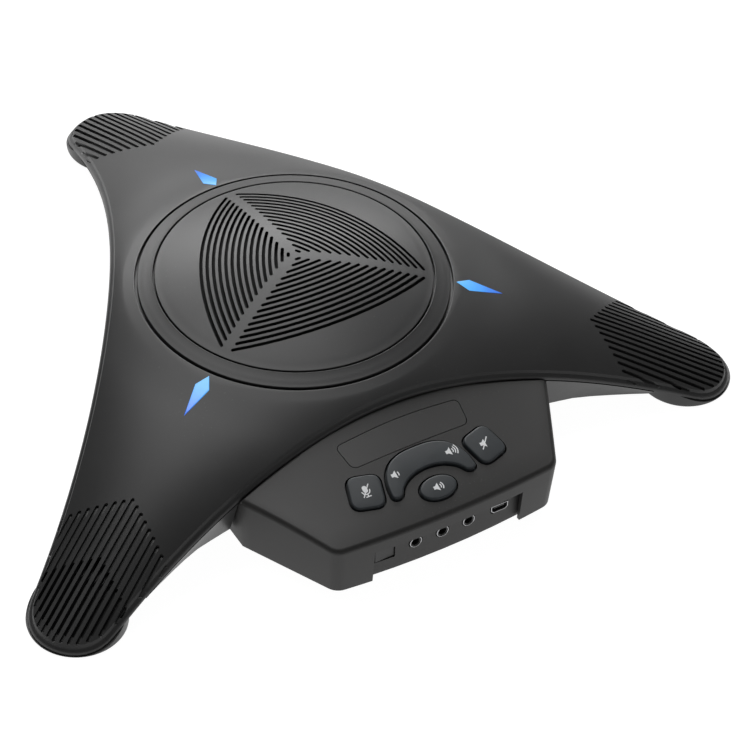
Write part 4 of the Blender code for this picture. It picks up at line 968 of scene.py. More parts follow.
@dataclass
class Cover:
    """Upper shell with the speaker's hole, light openings and the ribbed arm ends."""

    form: BodyForm
    slots: GeometryTree
    finishes: Finishes
    hole_round: float = 0.35 * MM
    ledge_width: float = 5.4 * MM
    ledge_drop: float = 2.7 * MM
    ledge_wall: float = 2.0 * MM
    ring_edge: float = 64.6 * MM
    pitch: float = 3.0 * MM
    slot_width: float = 1.5 * MM
    groove_start: float = 123.1 * MM
    groove_depth: float = 1.1 * MM
    deep_start: float = 147.0 * MM
    chevron: float = 0.6
    deep_margin: float = 3.6 * MM
    groove_ends: tuple[float, ...] = (182.3, 181.6, 180.8, 179.2, 176.6, 172.4, 165.7, 152.9, 143.0)
    deep_each_side: int = 6
    kite: tuple[float, float, float, float] = (66.7 * MM, 72.0 * MM, 85.8 * MM, 3.2 * MM)

    def build(self) -> None:
        """Makes the cover."""
        form = self.form
        ledge_top = form.top(self.ring_edge, 0) - self.ledge_drop
        start = form.hole + form.wall
        loops = []
        for inset, rise in rounded_rim(0.0, self.hole_round, 4):
            loops.append([(x, y, form.top(x, y) + rise) for x, y, _ in form.circle(form.hole + inset, 0)])
        loops += form.roof(form.hole + self.hole_round, form.edge_round, 0.0, 34)[1:]
        tops = [form.top(x, y) for x, y in form.outline()]
        for angle in spread(0.0, math.pi / 2, 6)[1:]:
            inset = form.edge_round * (1 - math.sin(angle))
            drop = form.edge_round * (1 - math.cos(angle))
            loops.append(form.level(inset, [top - drop for top in tops]))
        low = form.parting()
        loops += [form.level(0.0, low), form.level(form.wall, low)]
        loops += reversed(form.roof(start, form.wall, form.wall, 12))
        inner = form.hole - self.ledge_width
        ledge_low = ledge_top - self.ledge_wall
        loops += [form.circle(start, ledge_low), form.circle(inner, ledge_low),
                  form.circle(inner, ledge_top), form.circle(form.hole, ledge_top)]
        cover = new_object("cover", form.settle(loft("cover", loops, ring=True)))
        shade(cover)
        smooth_form = cover.data.copy()
        grooves, deep = self.slot_lines()
        for name, lines, width, depth in (("grooves", grooves, self.slot_width, 2 * self.groove_depth),
                                          ("deep_slots", deep, self.slot_width - 0.04 * MM, 30 * MM)):
            tool = self.slots.grow(name, form.settle(line_carrier(name, lines)),
                                   {"Width": width, "Depth": depth, "Ends": 16})
            carve(cover, tool, overlapping=True)
        for number, degrees in enumerate(form.arms):
            tool = prism("light_hole", self.kite_plan(0.07 * MM), form.height / 2, form.height,
                         Matrix.Rotation(math.radians(degrees), 4, "Z"))
            carve(cover, new_object(f"light_hole_{number}", form.settle(tool)))
        shade(cover)
        keep_smooth(cover, smooth_form)
        place_piece(cover, "housing", self.finishes.shell, ("top_shell",))

    def slot_lines(self) -> tuple[list[list[Place]], list[list[Place]]]:
        """Middle lines of the shallow grooves, on the surface, and of the slots that go through."""
        grooves, deep = [], []
        most = len(self.groove_ends) - 1
        half = self.slot_width / 2
        for degrees in self.form.arms:
            for number in range(-most, most + 1):
                across = number * self.pitch
                start = self.groove_start + self.chevron * abs(across) + half
                end = self.groove_ends[abs(number)] * MM - half
                line = []
                for along in spread(start, end, 12):
                    x, y = along_arm(along, across, degrees)
                    line.append((x, y, self.form.top(x, y)))
                grooves.append(line)
                start = self.deep_start + self.chevron * abs(across) + half
                end -= self.deep_margin
                if abs(number) <= self.deep_each_side and end > start:
                    deep.append([(*along_arm(along, across, degrees), 12 * MM) for along in (start, end)])
        return grooves, deep

    def kite_plan(self, grow: float) -> list[Point]:
        """Plan of a light opening on an arm at angle 0, its edges moved outwards."""
        inner, widest, outer, half = self.kite
        slope_in = math.atan2(half, widest - inner)
        slope_out = math.atan2(half, outer - widest)
        inner -= grow / math.sin(slope_in)
        outer += grow / math.sin(slope_out)
        rise, run = math.tan(slope_in), math.tan(slope_out)
        widest = (inner * rise + outer * run) / (rise + run)
        half = (widest - inner) * rise
        return [(inner, 0), (widest, -half), (outer, 0), (widest, half)]

    def build_lights(self) -> None:
        """Makes the three light pipes with softly rounded upper edges."""
        for name, degrees in zip(("back", "left", "right"), self.form.arms):
            loops = []
            for inset, rise in [(0.0, -5.0 * MM), *rounded_rim(0.25 * MM, 0.25 * MM, 4)]:
                plan = [along_arm(x, y, degrees) for x, y in self.kite_plan(-inset)]
                loops.append([(x, y, self.form.top(x, y) + rise) for x, y in plan])
            item = new_object(f"light_{name}", self.form.settle(loft(f"light_{name}", loops)))
            shade(item, 60.0)
            place_piece(item, "housing", self.finishes.lens, (f"light_pipe_{name}",))


@dataclass
class SpeakerFront:
    """Ring and slotted dome over the loudspeaker."""

    form: BodyForm
    slots: GeometryTree
    finishes: Finishes
    ring_outer: float = 64.3 * MM
    ring_inner: float = 57.8 * MM
    grille_radius: float = 57.2 * MM
    ring_height: float = 2.4 * MM
    flange_radius: float = 54.2 * MM
    thickness: float = 2.2 * MM
    edge: float = 0.35 * MM
    fan_slots: int = 15
    fan_centre: float = 72.2 * MM
    fan_first: float = 2.6 * MM
    fan_pitch: float = 2.54 * MM
    slot_width: float = 1.4 * MM
    spoke_half: float = 1.9 * MM

    def dome(self, inner: float, outer: float, drop: float, steps: int) -> list[Point]:
        """Profile points on the dome from an outer radius in to an inner one."""
        return [(radius, self.form.top(radius, 0) - drop) for radius in spread(outer, inner, steps)]

    def rim(self, radius: float, side: int) -> list[Point]:
        """Quarter-round profile at a rim, from its upright side up to the dome."""
        return [(radius - side * inset, self.form.top(radius, 0) + rise)
                for inset, rise in rounded_rim(0.0, self.edge, 4)]

    def build(self) -> None:
        """Makes the ring and the grille."""
        low = self.form.top(self.ring_outer, 0) - self.ring_height
        flange = self.form.top(self.grille_radius, 0) - self.thickness - self.form.gap
        profile = [(self.ring_outer, low), *self.rim(self.ring_outer, 1),
                   *self.dome(self.ring_inner + self.edge, self.ring_outer - self.edge, 0.0, 4)[1:-1],
                   *reversed(self.rim(self.ring_inner, -1)), (self.ring_inner, flange),
                   (self.flange_radius, flange), (self.flange_radius, low)]
        ring = new_object("ring", self.form.settle(turned("ring", profile, steps=180)))
        shade(ring)
        place_piece(ring, "housing", self.finishes.shell, ("speaker_ring",))

        top = [*self.rim(self.grille_radius, 1), *self.dome(0.0, self.grille_radius - self.edge, 0.0, 22)[1:]]
        under = list(reversed(self.dome(0.0, self.grille_radius, self.thickness, 8)))
        grille = new_object("grille", self.form.settle(turned("grille", top + under, steps=144)))
        shade(grille)
        smooth_form = grille.data.copy()
        tool = self.slots.grow("fan_slots", self.form.settle(line_carrier("fan_slots", self.fan_lines())),
                               {"Width": self.slot_width, "Depth": 40 * MM, "Ends": 12})
        carve(grille, tool, overlapping=True)
        shade(grille)
        keep_smooth(grille, smooth_form)
        place_piece(grille, "housing", self.finishes.shell, ("speaker_grille",))

    def fan_lines(self) -> list[list[Place]]:
        """Middle lines of the arc slots in the three fans."""
        lines = []
        half = self.slot_width / 2
        for degrees in self.form.arms:
            centre = polar(-self.fan_centre, degrees + 60.0)
            for i in range(self.fan_slots):
                radius = self.fan_centre + self.fan_first + self.fan_pitch * i
                reach = (self.spoke_half + half + self.fan_centre * math.sin(math.radians(60.0))) / radius
                end = 60.0 - math.degrees(math.asin(reach))
                line = []
                for angle in spread(-end, end, max(2, math.ceil(end / 1.8))):
                    x, y = polar(radius, degrees + 60.0 + angle)
                    line.append((centre[0] + x, centre[1] + y, self.form.height * 0.9))
                lines.append(line)
        return lines


# ---------------------------------------------------------------- base and underside

@dataclass
class Base:
    """Drafted tub with a round pod under each arm end, its foot pads and screws."""

    form: BodyForm
    console: "Console"
    copies: GeometryTree
    finishes: Finishes
    underside: float = 9.7 * MM
    wall: float = 2.2 * MM
    draft_ratio: float = 0.45
    draft_limit: float = 6.0 * MM
    rim_gap: float = 0.6 * MM
    arm_end: float = 150.0 * MM
    corner: float = 1.2 * MM
    pod_radius: float = 20.1 * MM
    pod_low: float = 0.9 * MM
    pod_top: float = 13.6 * MM
    pod_round: float = 1.2 * MM
    pad_radius: float = 11.0 * MM
    pad_place: float = 160.0 * MM
    screw_place: Point = (112.0 * MM, 9.0 * MM)
    floor_screw: Point = (46.0 * MM, 94.0 * MM)
    head_radius: float = 2.9 * MM

    def tub(self, insets: list[float], heights: list[float]) -> list[Place]:
        """Loop of the three hollow sides cut off across each arm, with an inset and a height per point."""
        form = self.form
        side_x, side_y = form.side_place
        loop = []
        for degrees in form.arms:
            for share in form.shares():
                inset = insets[len(loop)]
                radius = form.side_arc + inset
                first = 360 - math.degrees(math.acos((self.arm_end - inset - side_x) / radius))
                x, y = polar(radius, first + (480.0 - 2 * first) * share)
                loop.append((*along_arm(side_x + x, side_y + y, degrees), heights[len(loop)]))
        return loop

    def build(self) -> None:
        """Makes the base."""
        form = self.form
        count = len(form.arms) * (form.side_steps + 1)
        flat = self.tub([0.0] * count, [0.0] * count)
        rim = [form.top(x, y) - form.edge_round - form.lip - self.rim_gap for x, y, _ in flat]
        draft = [min(self.draft_ratio * (z - self.underside), self.draft_limit) for z in rim]
        loops = []
        for angle in spread(0.0, math.pi / 2, 4):
            inset, rise = self.corner * (1 - math.sin(angle)), self.corner * (1 - math.cos(angle))
            loops.append(self.tub([d + inset for d in draft], [self.underside + rise] * count))
        loops += [self.tub([0.0] * count, rim), self.tub([self.wall] * count, rim),
                  self.tub([d + self.wall for d in draft], [self.underside + self.wall] * count)]
        base = new_object("base", loft("base", loops))
        for number, degrees in enumerate(form.arms):
            rounding = [(self.pod_radius - inset, self.pod_low - rise) for inset, rise in
                        rounded_rim(0.0, self.pod_round)]
            profile = [(0, self.pod_top), (self.pod_radius, self.pod_top), *rounding, (0, self.pod_low)]
            place = (*polar(form.tip_place, degrees), 0)
            pod = new_object(f"pod_{number}", turned("pod", profile, place, 128))
            outset = 2 * (self.pod_radius - form.tip_radius)
            carve(pod, new_object("over_pod", form.over_cover(outset)))
            carve(base, pod, "UNION")
        carve(base, new_object("console_space", self.console.space()))
        for number, degrees in enumerate(form.arms):
            recess = turned("recess", [(0, 1.8 * MM), (self.pad_radius + form.gap, 1.8 * MM),
                                       (self.pad_radius + form.gap, -MM), (0, -MM)],
                            (*polar(self.pad_place, degrees), 0), 64)
            carve(base, new_object(f"recess_{number}", recess))
            carve(base, new_object(f"sink_{number}", self.screw_hole(
                (*along_arm(*self.screw_place, degrees), self.underside))))
        form.settle(base.data)
        shade(base)
        place_piece(base, "housing", self.finishes.shell, ("base_shell",))

    def screw_hole(self, place: Place) -> bpy.types.Mesh:
        """Clearance for a screw and its sunk head."""
        gap = self.form.gap
        profile = [(0, 9 * MM), (1.4 * MM + gap, 9 * MM), (1.4 * MM + gap, 1.4 * MM),
                   (self.head_radius + gap, 1.4 * MM), (self.head_radius + gap, -MM), (0, -MM)]
        return turned("sink", profile, place, 40)

    def build_feet(self) -> None:
        """Makes the rubber foot pads, each with a ring groove and a rounded edge."""
        for name, degrees in zip(("back", "left", "right"), self.form.arms):
            edge = 0.4 * MM
            rim = [(self.pad_radius - inset, -rise) for inset, rise in rounded_rim(0.0, edge)]
            groove = [(9.0 * MM, 0.0), (8.7 * MM, 0.25 * MM), (8.2 * MM, 0.25 * MM), (7.9 * MM, 0.0)]
            profile = [(0, 1.5 * MM), (self.pad_radius, 1.5 * MM), *rim, *groove, (0, 0.0)]
            pad = turned(f"pad_{name}", profile, (*polar(self.pad_place, degrees), 0), 72)
            item = new_object(f"pad_{name}", self.form.settle(pad))
            shade(item)
            place_piece(item, "housing", self.finishes.rubber, (f"foot_pad_{name}",))

    def build_screws(self) -> None:
        """Makes the cross-recessed screws, copied to their places."""
        low, high = 0.3 * MM, 1.1 * MM
        edge = [(self.head_radius - inset, low - rise) for inset, rise in rounded_rim(0.0, 0.3 * MM)]
        profile = [(0, 8.4 * MM), (1.4 * MM, 8.4 * MM), (1.4 * MM, high), (self.head_radius, high), *edge,
                   (0, low)]
        unit = new_object("screw_unit", turned("screw_unit", profile, steps=40))
        for turn in (0, 90):
            corners = [(-1.7 * MM, -0.3 * MM), (1.7 * MM, -0.3 * MM), (1.7 * MM, 0.3 * MM),
                       (-1.7 * MM, 0.3 * MM)]
            blade = prism("blade", corners, -MM, 0.8 * MM, Matrix.Rotation(math.radians(turn), 4, "Z"))
            carve(unit, new_object(f"blade_{turn}", blade))
        places = [(*along_arm(*self.screw_place, degrees), self.underside) for degrees in self.form.arms]
        x, y = self.floor_screw
        places += [(side * x, -y, self.console.underside) for side in (-1, 1)]
        carrier = bpy.data.meshes.new("screw_places")
        carrier.from_pydata(places, [], [])
        screws = self.copies.grow("screws", self.form.settle(carrier), {"Unit": unit})
        bpy.data.objects.remove(unit, do_unlink=True)
        shade(screws)
        place_piece(screws, "housing", self.finishes.steel,
                    ("arm_screw_back", "arm_screw_left", "arm_screw_right", "floor_screw_left",
                     "floor_screw_right"))


# ---------------------------------------------------------------- console

@dataclass
class Console:
    """Wedge-shaped key console that stands out under the cover's front edge."""

    form: BodyForm
    finishes: Finishes
    rear: float = 68.0 * MM
    shoulder: Point = (71.3 * MM, 83.3 * MM)
    corner: Point = (50.8 * MM, 123.4 * MM)
    corner_round: float = 7.0 * MM
    bulge: float = 3.3 * MM
    underside: float = 5.4 * MM
    draft: float = 0.978
    edge_round: float = 1.9 * MM
    wall: float = 2.0 * MM
    deck_wall: float = 2.2 * MM
    slope: float = 0.286
    rear_height: float = 42.1 * MM
    crown_rear: float = 2.0
    crown_front: float = 0.6
    clearance: float = 0.5 * MM
    recess_half: float = 34.1 * MM
    recess_top: float = 22.4 * MM
    deck_point: float = 105.5 * MM
    side_key: Point = (27.3 * MM, 0.0)
    label_rear: float = 83.0 * MM
    label_front: float = 94.4 * MM
    label_half: Point = (28.2 * MM, 26.6 * MM)
    label_round: float = 3.0 * MM
    label_arch: float = 0.9 * MM
    seam: float = 0.3 * MM
    shadow_gap: float = 1.1 * MM

    @property
    def front(self) -> float:
        """Distance of the front's middle."""
        return self.corner[1] + self.bulge

    @property
    def front_radius(self) -> float:
        """Radius of the bulged front."""
        return (self.corner[0] ** 2 + self.bulge ** 2) / (2 * self.bulge)

    @property
    def tilt(self) -> float:
        """Angle of the deck."""
        return math.atan(self.slope)

    def deck(self, x: float, y: float) -> float:
        """Height of the deck over a plan point."""
        forward = -y - self.shoulder[1]
        share = forward / (self.front - self.shoulder[1])
        crown = self.crown_rear + (self.crown_front - self.crown_rear) * share
        return self.rear_height - self.slope * forward - crown * x ** 2

    def front_y(self, x: float, setback: float = 0.0) -> float:
        """Plan place of the bulged front, or of a face set back from it."""
        return self.front_radius - self.front - math.sqrt((self.front_radius - setback) ** 2 - x ** 2)

    def plan(self, inset: float = 0.0) -> list[Point]:
        """Front outline from the left shoulder to the right one, moved inwards by a distance."""
        side_x, side_y = self.shoulder[0] - self.corner[0], self.corner[1] - self.shoulder[1]
        length = math.hypot(side_x, side_y)
        inward = (-side_y / length, side_x / length)
        along = (-side_x / length, -side_y / length)
        start = (self.shoulder[0] + inward[0] * self.corner_round,
                 -self.shoulder[1] + inward[1] * self.corner_round)
        from_arc = start[1] - (self.front_radius - self.front)
        half = start[0] * along[0] + from_arc * along[1]
        rest = start[0] ** 2 + from_arc ** 2 - (self.front_radius - self.corner_round) ** 2
        reach = math.sqrt(half ** 2 - rest) - half
        middle = (start[0] + along[0] * reach, start[1] + along[1] * reach)
        first = math.atan2(-inward[1], -inward[0])
        last = math.atan2(middle[1] - (self.front_radius - self.front), middle[0])
        turn = self.corner_round - inset
        side_start = (self.shoulder[0] + inward[0] * inset, -self.shoulder[1] + inward[1] * inset)
        side_end = (middle[0] + turn * math.cos(first), middle[1] + turn * math.sin(first))
        right = [(side_start[0] + (side_end[0] - side_start[0]) * share,
                  side_start[1] + (side_end[1] - side_start[1]) * share) for share in spread(0.0, 1.0, 10)]
        right += [(middle[0] + turn * math.cos(angle), middle[1] + turn * math.sin(angle))
                  for angle in spread(first, last, 14)[1:]]
        right += [(x, self.front_y(x, inset)) for x in spread(right[-1][0], 0.0, 16)[1:]]
        return [(-x, y) for x, y in right] + list(reversed(right[:-1]))

    def block(self, name: str, inset: float, lower: float, overrun: float) -> bpy.types.Mesh:
        """The console's solid shape, moved inwards and lowered, carried past its hidden ends.

        Args:
            name: name of the mesh.
            inset: distance inwards from the sides.
            lower: distance down from the deck.
            overrun: distance past the rear and the underside.

        Returns:
            A closed mesh.
        """
        rear, bottom = -self.rear + overrun, self.underside - overrun
        angles = spread(0.0, math.pi / 2, 7)
        rims = [(self.plan(inset + self.edge_round * (1 - math.sin(a))), self.edge_round * (1 - math.cos(a)))
                for a in angles]
        loops = []
        for i, (x, y) in enumerate(self.plan(inset)):
            base_x, base_y = x * self.draft, -self.rear + (y + self.rear) * self.draft
            top_x, top_y = rims[0][0][i]
            loop = [(base_x, rear, bottom), (top_x, rear, self.deck(top_x, rear) - lower)]
            loop += [(top_x, along, self.deck(top_x, along) - lower)
                     for along in spread(rear, top_y, 6)[1:-1]]
            loop += [(*points[i], self.deck(*points[i]) - lower - fall) for points, fall in rims]
            loop += [(base_x, base_y, bottom)]
            loops.append(loop)
        return loft(name, loops)

    def space(self) -> bpy.types.Mesh:
        """Upright space that the base leaves for the console."""
        plan = self.plan(-self.clearance)
        rear = -self.rear + self.clearance
        plan += [(plan[-1][0], rear), (plan[0][0], rear)]
        return prism("console_space", plan, self.underside - self.clearance, self.form.height)

    def deck_matrix(self) -> Matrix:
        """Place of the deck's own plane, whose origin lies between the side keys."""
        origin = (0, -self.deck_point, self.deck(0, -self.deck_point))
        return Matrix.Translation(origin) @ Matrix.Rotation(self.tilt, 4, "X")

    def label_plan(self, grow: float) -> list[Point]:
        """Rounded label outline with an arched rear edge, in the deck's plane."""
        rear = (self.deck_point - self.label_rear) / math.cos(self.tilt) + grow
        front = (self.deck_point - self.label_front) / math.cos(self.tilt) - grow
        wide, narrow = self.label_half[0] + grow, self.label_half[1] + grow
        arch = [(wide * (1 - 2 * share) * 0.8, rear + self.label_arch * (1 - (1 - 2 * share) ** 2))
                for share in spread(0.0, 1.0, 12)]
        corners = rounded_polygon([(wide, rear), (-wide, rear), (-narrow, front), (narrow, front)],
                                  self.label_round + grow)
        first = [p for p in corners if p[0] > 0 and p[1] > (rear + front) / 2]
        others = [p for p in corners if p not in first]
        return first + arch[1:-1] + others

    def build(self, openings: list[bpy.types.Mesh]) -> None:
        """Makes the housing and the blank label.

        Args:
            openings: cutters of the key openings.
        """
        form = self.form
        housing = new_object("console", self.block("console", 0.0, 0.0, 0.0))
        shade(housing)
        smooth_form = housing.data.copy()
        carve(housing, new_object("hollow", self.block("hollow", self.wall, self.deck_wall, 10 * MM)))
        carve(housing, new_object("over_console", form.over_cover(self.shadow_gap)))
        recess = [(-self.recess_half, -self.front - 10 * MM), (self.recess_half, -self.front - 10 * MM),
                  (self.recess_half, -self.front + 14 * MM), (-self.recess_half, -self.front + 14 * MM)]
        carve(housing, new_object("recess", prism("recess", recess, -MM, self.recess_top)))
        deck = self.deck_matrix()
        space = prism("label_space", self.label_plan(self.seam), -6 * MM, 4 * MM, deck)
        carve(housing, new_object("label_space", space))
        for number, opening in enumerate(openings):
            carve(housing, new_object(f"opening_{number}", opening))
        shade(housing)
        keep_smooth(housing, smooth_form)
        form.settle(housing.data)
        place_piece(housing, "housing", self.finishes.console, ("console_housing",))

        label = new_object("label", prism("label", self.label_plan(0.0), -2.0 * MM, 4 * MM, deck))
        carve(label, new_object("deck_form", self.block("deck_form", 0.0, 0.02 * MM, 0.0)), "INTERSECT")
        shade(label)
        keep_smooth(label, smooth_form, 0.06 * MM)
        form.settle(label.data)
        place_piece(label, "housing", self.finishes.film, ("label_inlay",))


# ---------------------------------------------------------------- keys and their symbols

class Symbol(Enum):
    """Generic symbols on the keys."""

    MIC_OFF = "microphone with a slash"
    SPEAKER_OFF = "loudspeaker with a slash"
    QUIETER = "loudspeaker with one wave"
    LOUDER = "loudspeaker with three waves"
    TALK = "loudspeaker with two waves"


def bar(start: Point, end: Point, width: float) -> list[Point]:
    """Corners of a straight stroke."""
    across = Vector((start[1] - end[1], end[0] - start[0])).normalized() * width / 2
    return [(start[0] - across.x, start[1] - across.y), (end[0] - across.x, end[1] - across.y),
            (end[0] + across.x, end[1] + across.y), (start[0] + across.x, start[1] + across.y)]


def arc_stroke(centre: Point, radius: float, first: float, last: float, width: float) -> list[Point]:
    """Corners of a curved stroke."""
    outer = [polar(radius + width / 2, a) for a in spread(first, last, 10)]
    inner = [polar(radius - width / 2, a) for a in spread(last, first, 10)]
    return [(centre[0] + x, centre[1] + y) for x, y in outer + inner]


def symbol_strokes(symbol: Symbol) -> list[list[Point]]:
    """Outlines of a symbol's strokes in millimetres about its middle."""
    horn = [(-1.5, -0.55), (-0.75, -0.55), (0.25, -1.4), (0.25, 1.4), (-0.75, 0.55), (-1.5, 0.55)]
    slash = bar((-1.5, -1.8), (1.7, 1.8), 0.34)
    if symbol is Symbol.MIC_OFF:
        body = [(0.72 * math.cos(a), (0.75 if math.sin(a) > 0 else -0.15) + 0.72 * math.sin(a) + 0.25)
                for a in spread(0.0, math.tau * 23 / 24, 23)]
        return [body, arc_stroke((0, 0.1), 1.25, 180, 360, 0.34), bar((0, -1.2), (0, -1.9), 0.34),
                bar((-0.85, -2.0), (0.85, -2.0), 0.34), slash]
    waves = {Symbol.SPEAKER_OFF: 0, Symbol.QUIETER: 1, Symbol.LOUDER: 3, Symbol.TALK: 2}[symbol]
    strokes = [horn] + [arc_stroke((0.1, 0), 0.95 + 0.72 * i, -42, 42, 0.36) for i in range(waves)]
    return strokes + ([slash] if symbol is Symbol.SPEAKER_OFF else [])


@dataclass(frozen=True)
class Key:
    """One key: its body, node, plan, place in the deck's plane and symbols."""

    name: str
    node: str
    body: str
    plan: list[Point]
    matrix: Matrix
    symbols: list[tuple[Symbol, Point, float]]


@dataclass
class KeyPad:
    """The four rubber keys and their openings in the deck."""

    console: Console
    finishes: Finishes
    proud: float = 1.2 * MM
    clearance: float = 0.5 * MM
    opening_gap: float = 0.8 * MM
    top_round: float = 0.75 * MM
    flange: float = 0.9 * MM
    flange_top: float = -3.4 * MM
    flange_wall: float = 0.8 * MM
    side_size: Point = (13.6 * MM, 14.6 * MM)
    side_round: float = 4.2 * MM
    side_turn: float = 16.0
    talk_place: float = -10.0 * MM
    talk_size: Point = (7.9 * MM, 5.1 * MM)
    outer: Point = (19.1 * MM, 20.0 * MM)
    inner: Point = (15.0 * MM, 9.9 * MM)
    squareness: float = 2.7
    end_angles: Point = (6.0, 19.0)
    cap_reach: float = 2.4 * MM
    ink_height: float = 0.03 * MM
    keys: list[Key] = field(default_factory=list)

    def side_plan(self, side: int) -> list[Point]:
        """Outline of a side key."""
        w, h = self.side_size[0] / 2, self.side_size[1] / 2
        corners = [along_arm(x, y, side * self.side_turn) for x, y in ((w, h), (-w, h), (-w, -h), (w, -h))]
        return rounded_polygon(corners, self.side_round, 10)

    def arch(self, size: Point, power: float, degrees: float) -> Vector:
        """Point of a squared-off ellipse.

        Args:
            size: its two half lengths.
            power: 2 for an ellipse, more for squarer corners.
            degrees: the point's parameter.
        """
        x, y = polar(1.0, degrees)
        return Vector((math.copysign(abs(x) ** (2 / power), x) * size[0], abs(y) ** (2 / power) * size[1]))

    def crescent(self) -> list[Point]:
        """Outline of the volume rocker: two arches joined by round ends."""
        first, last = self.end_angles
        points = [self.arch(self.outer, self.squareness, a) for a in spread(first, 180 - first, 44)]
        start, end = points[-1], self.arch(self.inner, 2.0, 180 - last)
        leave = start + (start - points[-2]).normalized() * self.cap_reach
        arrive = end + (end - self.arch(self.inner, 2.0, 179 - last)).normalized() * self.cap_reach
        cap = [start * (1 - t) ** 3 + leave * 3 * t * (1 - t) ** 2 + arrive * 3 * t ** 2 * (1 - t)
               + end * t ** 3 for t in spread(0.0, 1.0, 12)[1:-1]]
        points += cap + [self.arch(self.inner, 2.0, a) for a in spread(180 - last, last, 32)]
        return [tuple(p) for p in points + [Vector((-p.x, p.y)) for p in reversed(cap)]]

    def lay_out(self) -> None:
        """Works out every key's plan and place."""
        deck = self.console.deck_matrix()
        crown = (self.console.crown_rear + self.console.crown_front) / 2
        talk = deck @ Matrix.Translation((0, self.talk_place, 0))
        for name, body, side, symbol in (("mic_mute", "mic_mute", -1, Symbol.MIC_OFF),
                                         ("speaker_mute", "speaker_mute", 1, Symbol.SPEAKER_OFF)):
            x = side * self.console.side_key[0]
            sink = -crown * x ** 2 * math.cos(self.console.tilt)
            lean = Matrix.Rotation(math.atan(2 * crown * x), 4, "Y")
            matrix = deck @ Matrix.Translation((x, 0, sink)) @ lean
            self.keys.append(Key(f"{name}_cap", f"{name}_key", body, self.side_plan(side), matrix,
                                 [(symbol, (0.0, 0.3 * MM), 1.35)]))
        oval = [(self.talk_size[0] * math.cos(a), self.talk_size[1] * math.sin(a))
                for a in spread(0.0, math.tau * 47 / 48, 47)]
        self.keys.append(Key("talk_cap", "talk_key", "talk", oval, talk,
                             [(Symbol.TALK, (-0.3 * MM, 0.0), 1.3)]))
        self.keys.append(Key("volume_cap", "volume_rocker", "volume", self.crescent(), talk,
                             [(Symbol.QUIETER, (-13.2 * MM, 11.6 * MM), 1.3),
                              (Symbol.LOUDER, (12.2 * MM, 12.2 * MM), 1.3)]))

    def openings(self) -> list[bpy.types.Mesh]:
        """Cutters of the key openings."""
        return [prism("opening", offset_loop(key.plan, self.opening_gap), -8 * MM, 4 * MM, key.matrix)
                for key in self.keys]

    def build(self) -> None:
        """Makes the keys and their symbols."""
        for key in self.keys:
            wide = offset_loop(key.plan, self.clearance + self.flange)
            levels = (self.flange_top - self.flange_wall, self.flange_top)
            loops = [[(x, y, z) for x, y in wide] for z in levels]
            loops.append([(x, y, self.flange_top) for x, y in key.plan])
            for inset, height in rounded_rim(self.proud, self.top_round, 6):
                loops.append([(x, y, height) for x, y in offset_loop(key.plan, -inset)])
            mesh = loft(key.name, loops)
            mesh.transform(key.matrix)
            cap = new_object(key.name, self.console.form.settle(mesh))
            shade(cap, 40.0)
            place_piece(cap, key.body, self.finishes.key, (key.node,))
            shape = bmesh.new()
            for symbol, (x, y), size in key.symbols:
                for level, stroke in enumerate(symbol_strokes(symbol)):
                    points = [(x + px * size * MM, y + py * size * MM) for px, py in stroke]
                    layer = self.ink_height * (1 + 0.1 * level)
                    part = prism("stroke", points, self.proud - self.ink_height, self.proud + layer,
                                 key.matrix)
                    shape.from_mesh(part)
            mesh = bpy.data.meshes.new(f"{key.name}_symbols")
            shape.to_mesh(mesh)
            shape.free()
            ink = new_object(f"{key.name}_symbols", self.console.form.settle(mesh))
            place_piece(ink, key.body, self.finishes.ink)


# ---------------------------------------------------------------- sockets

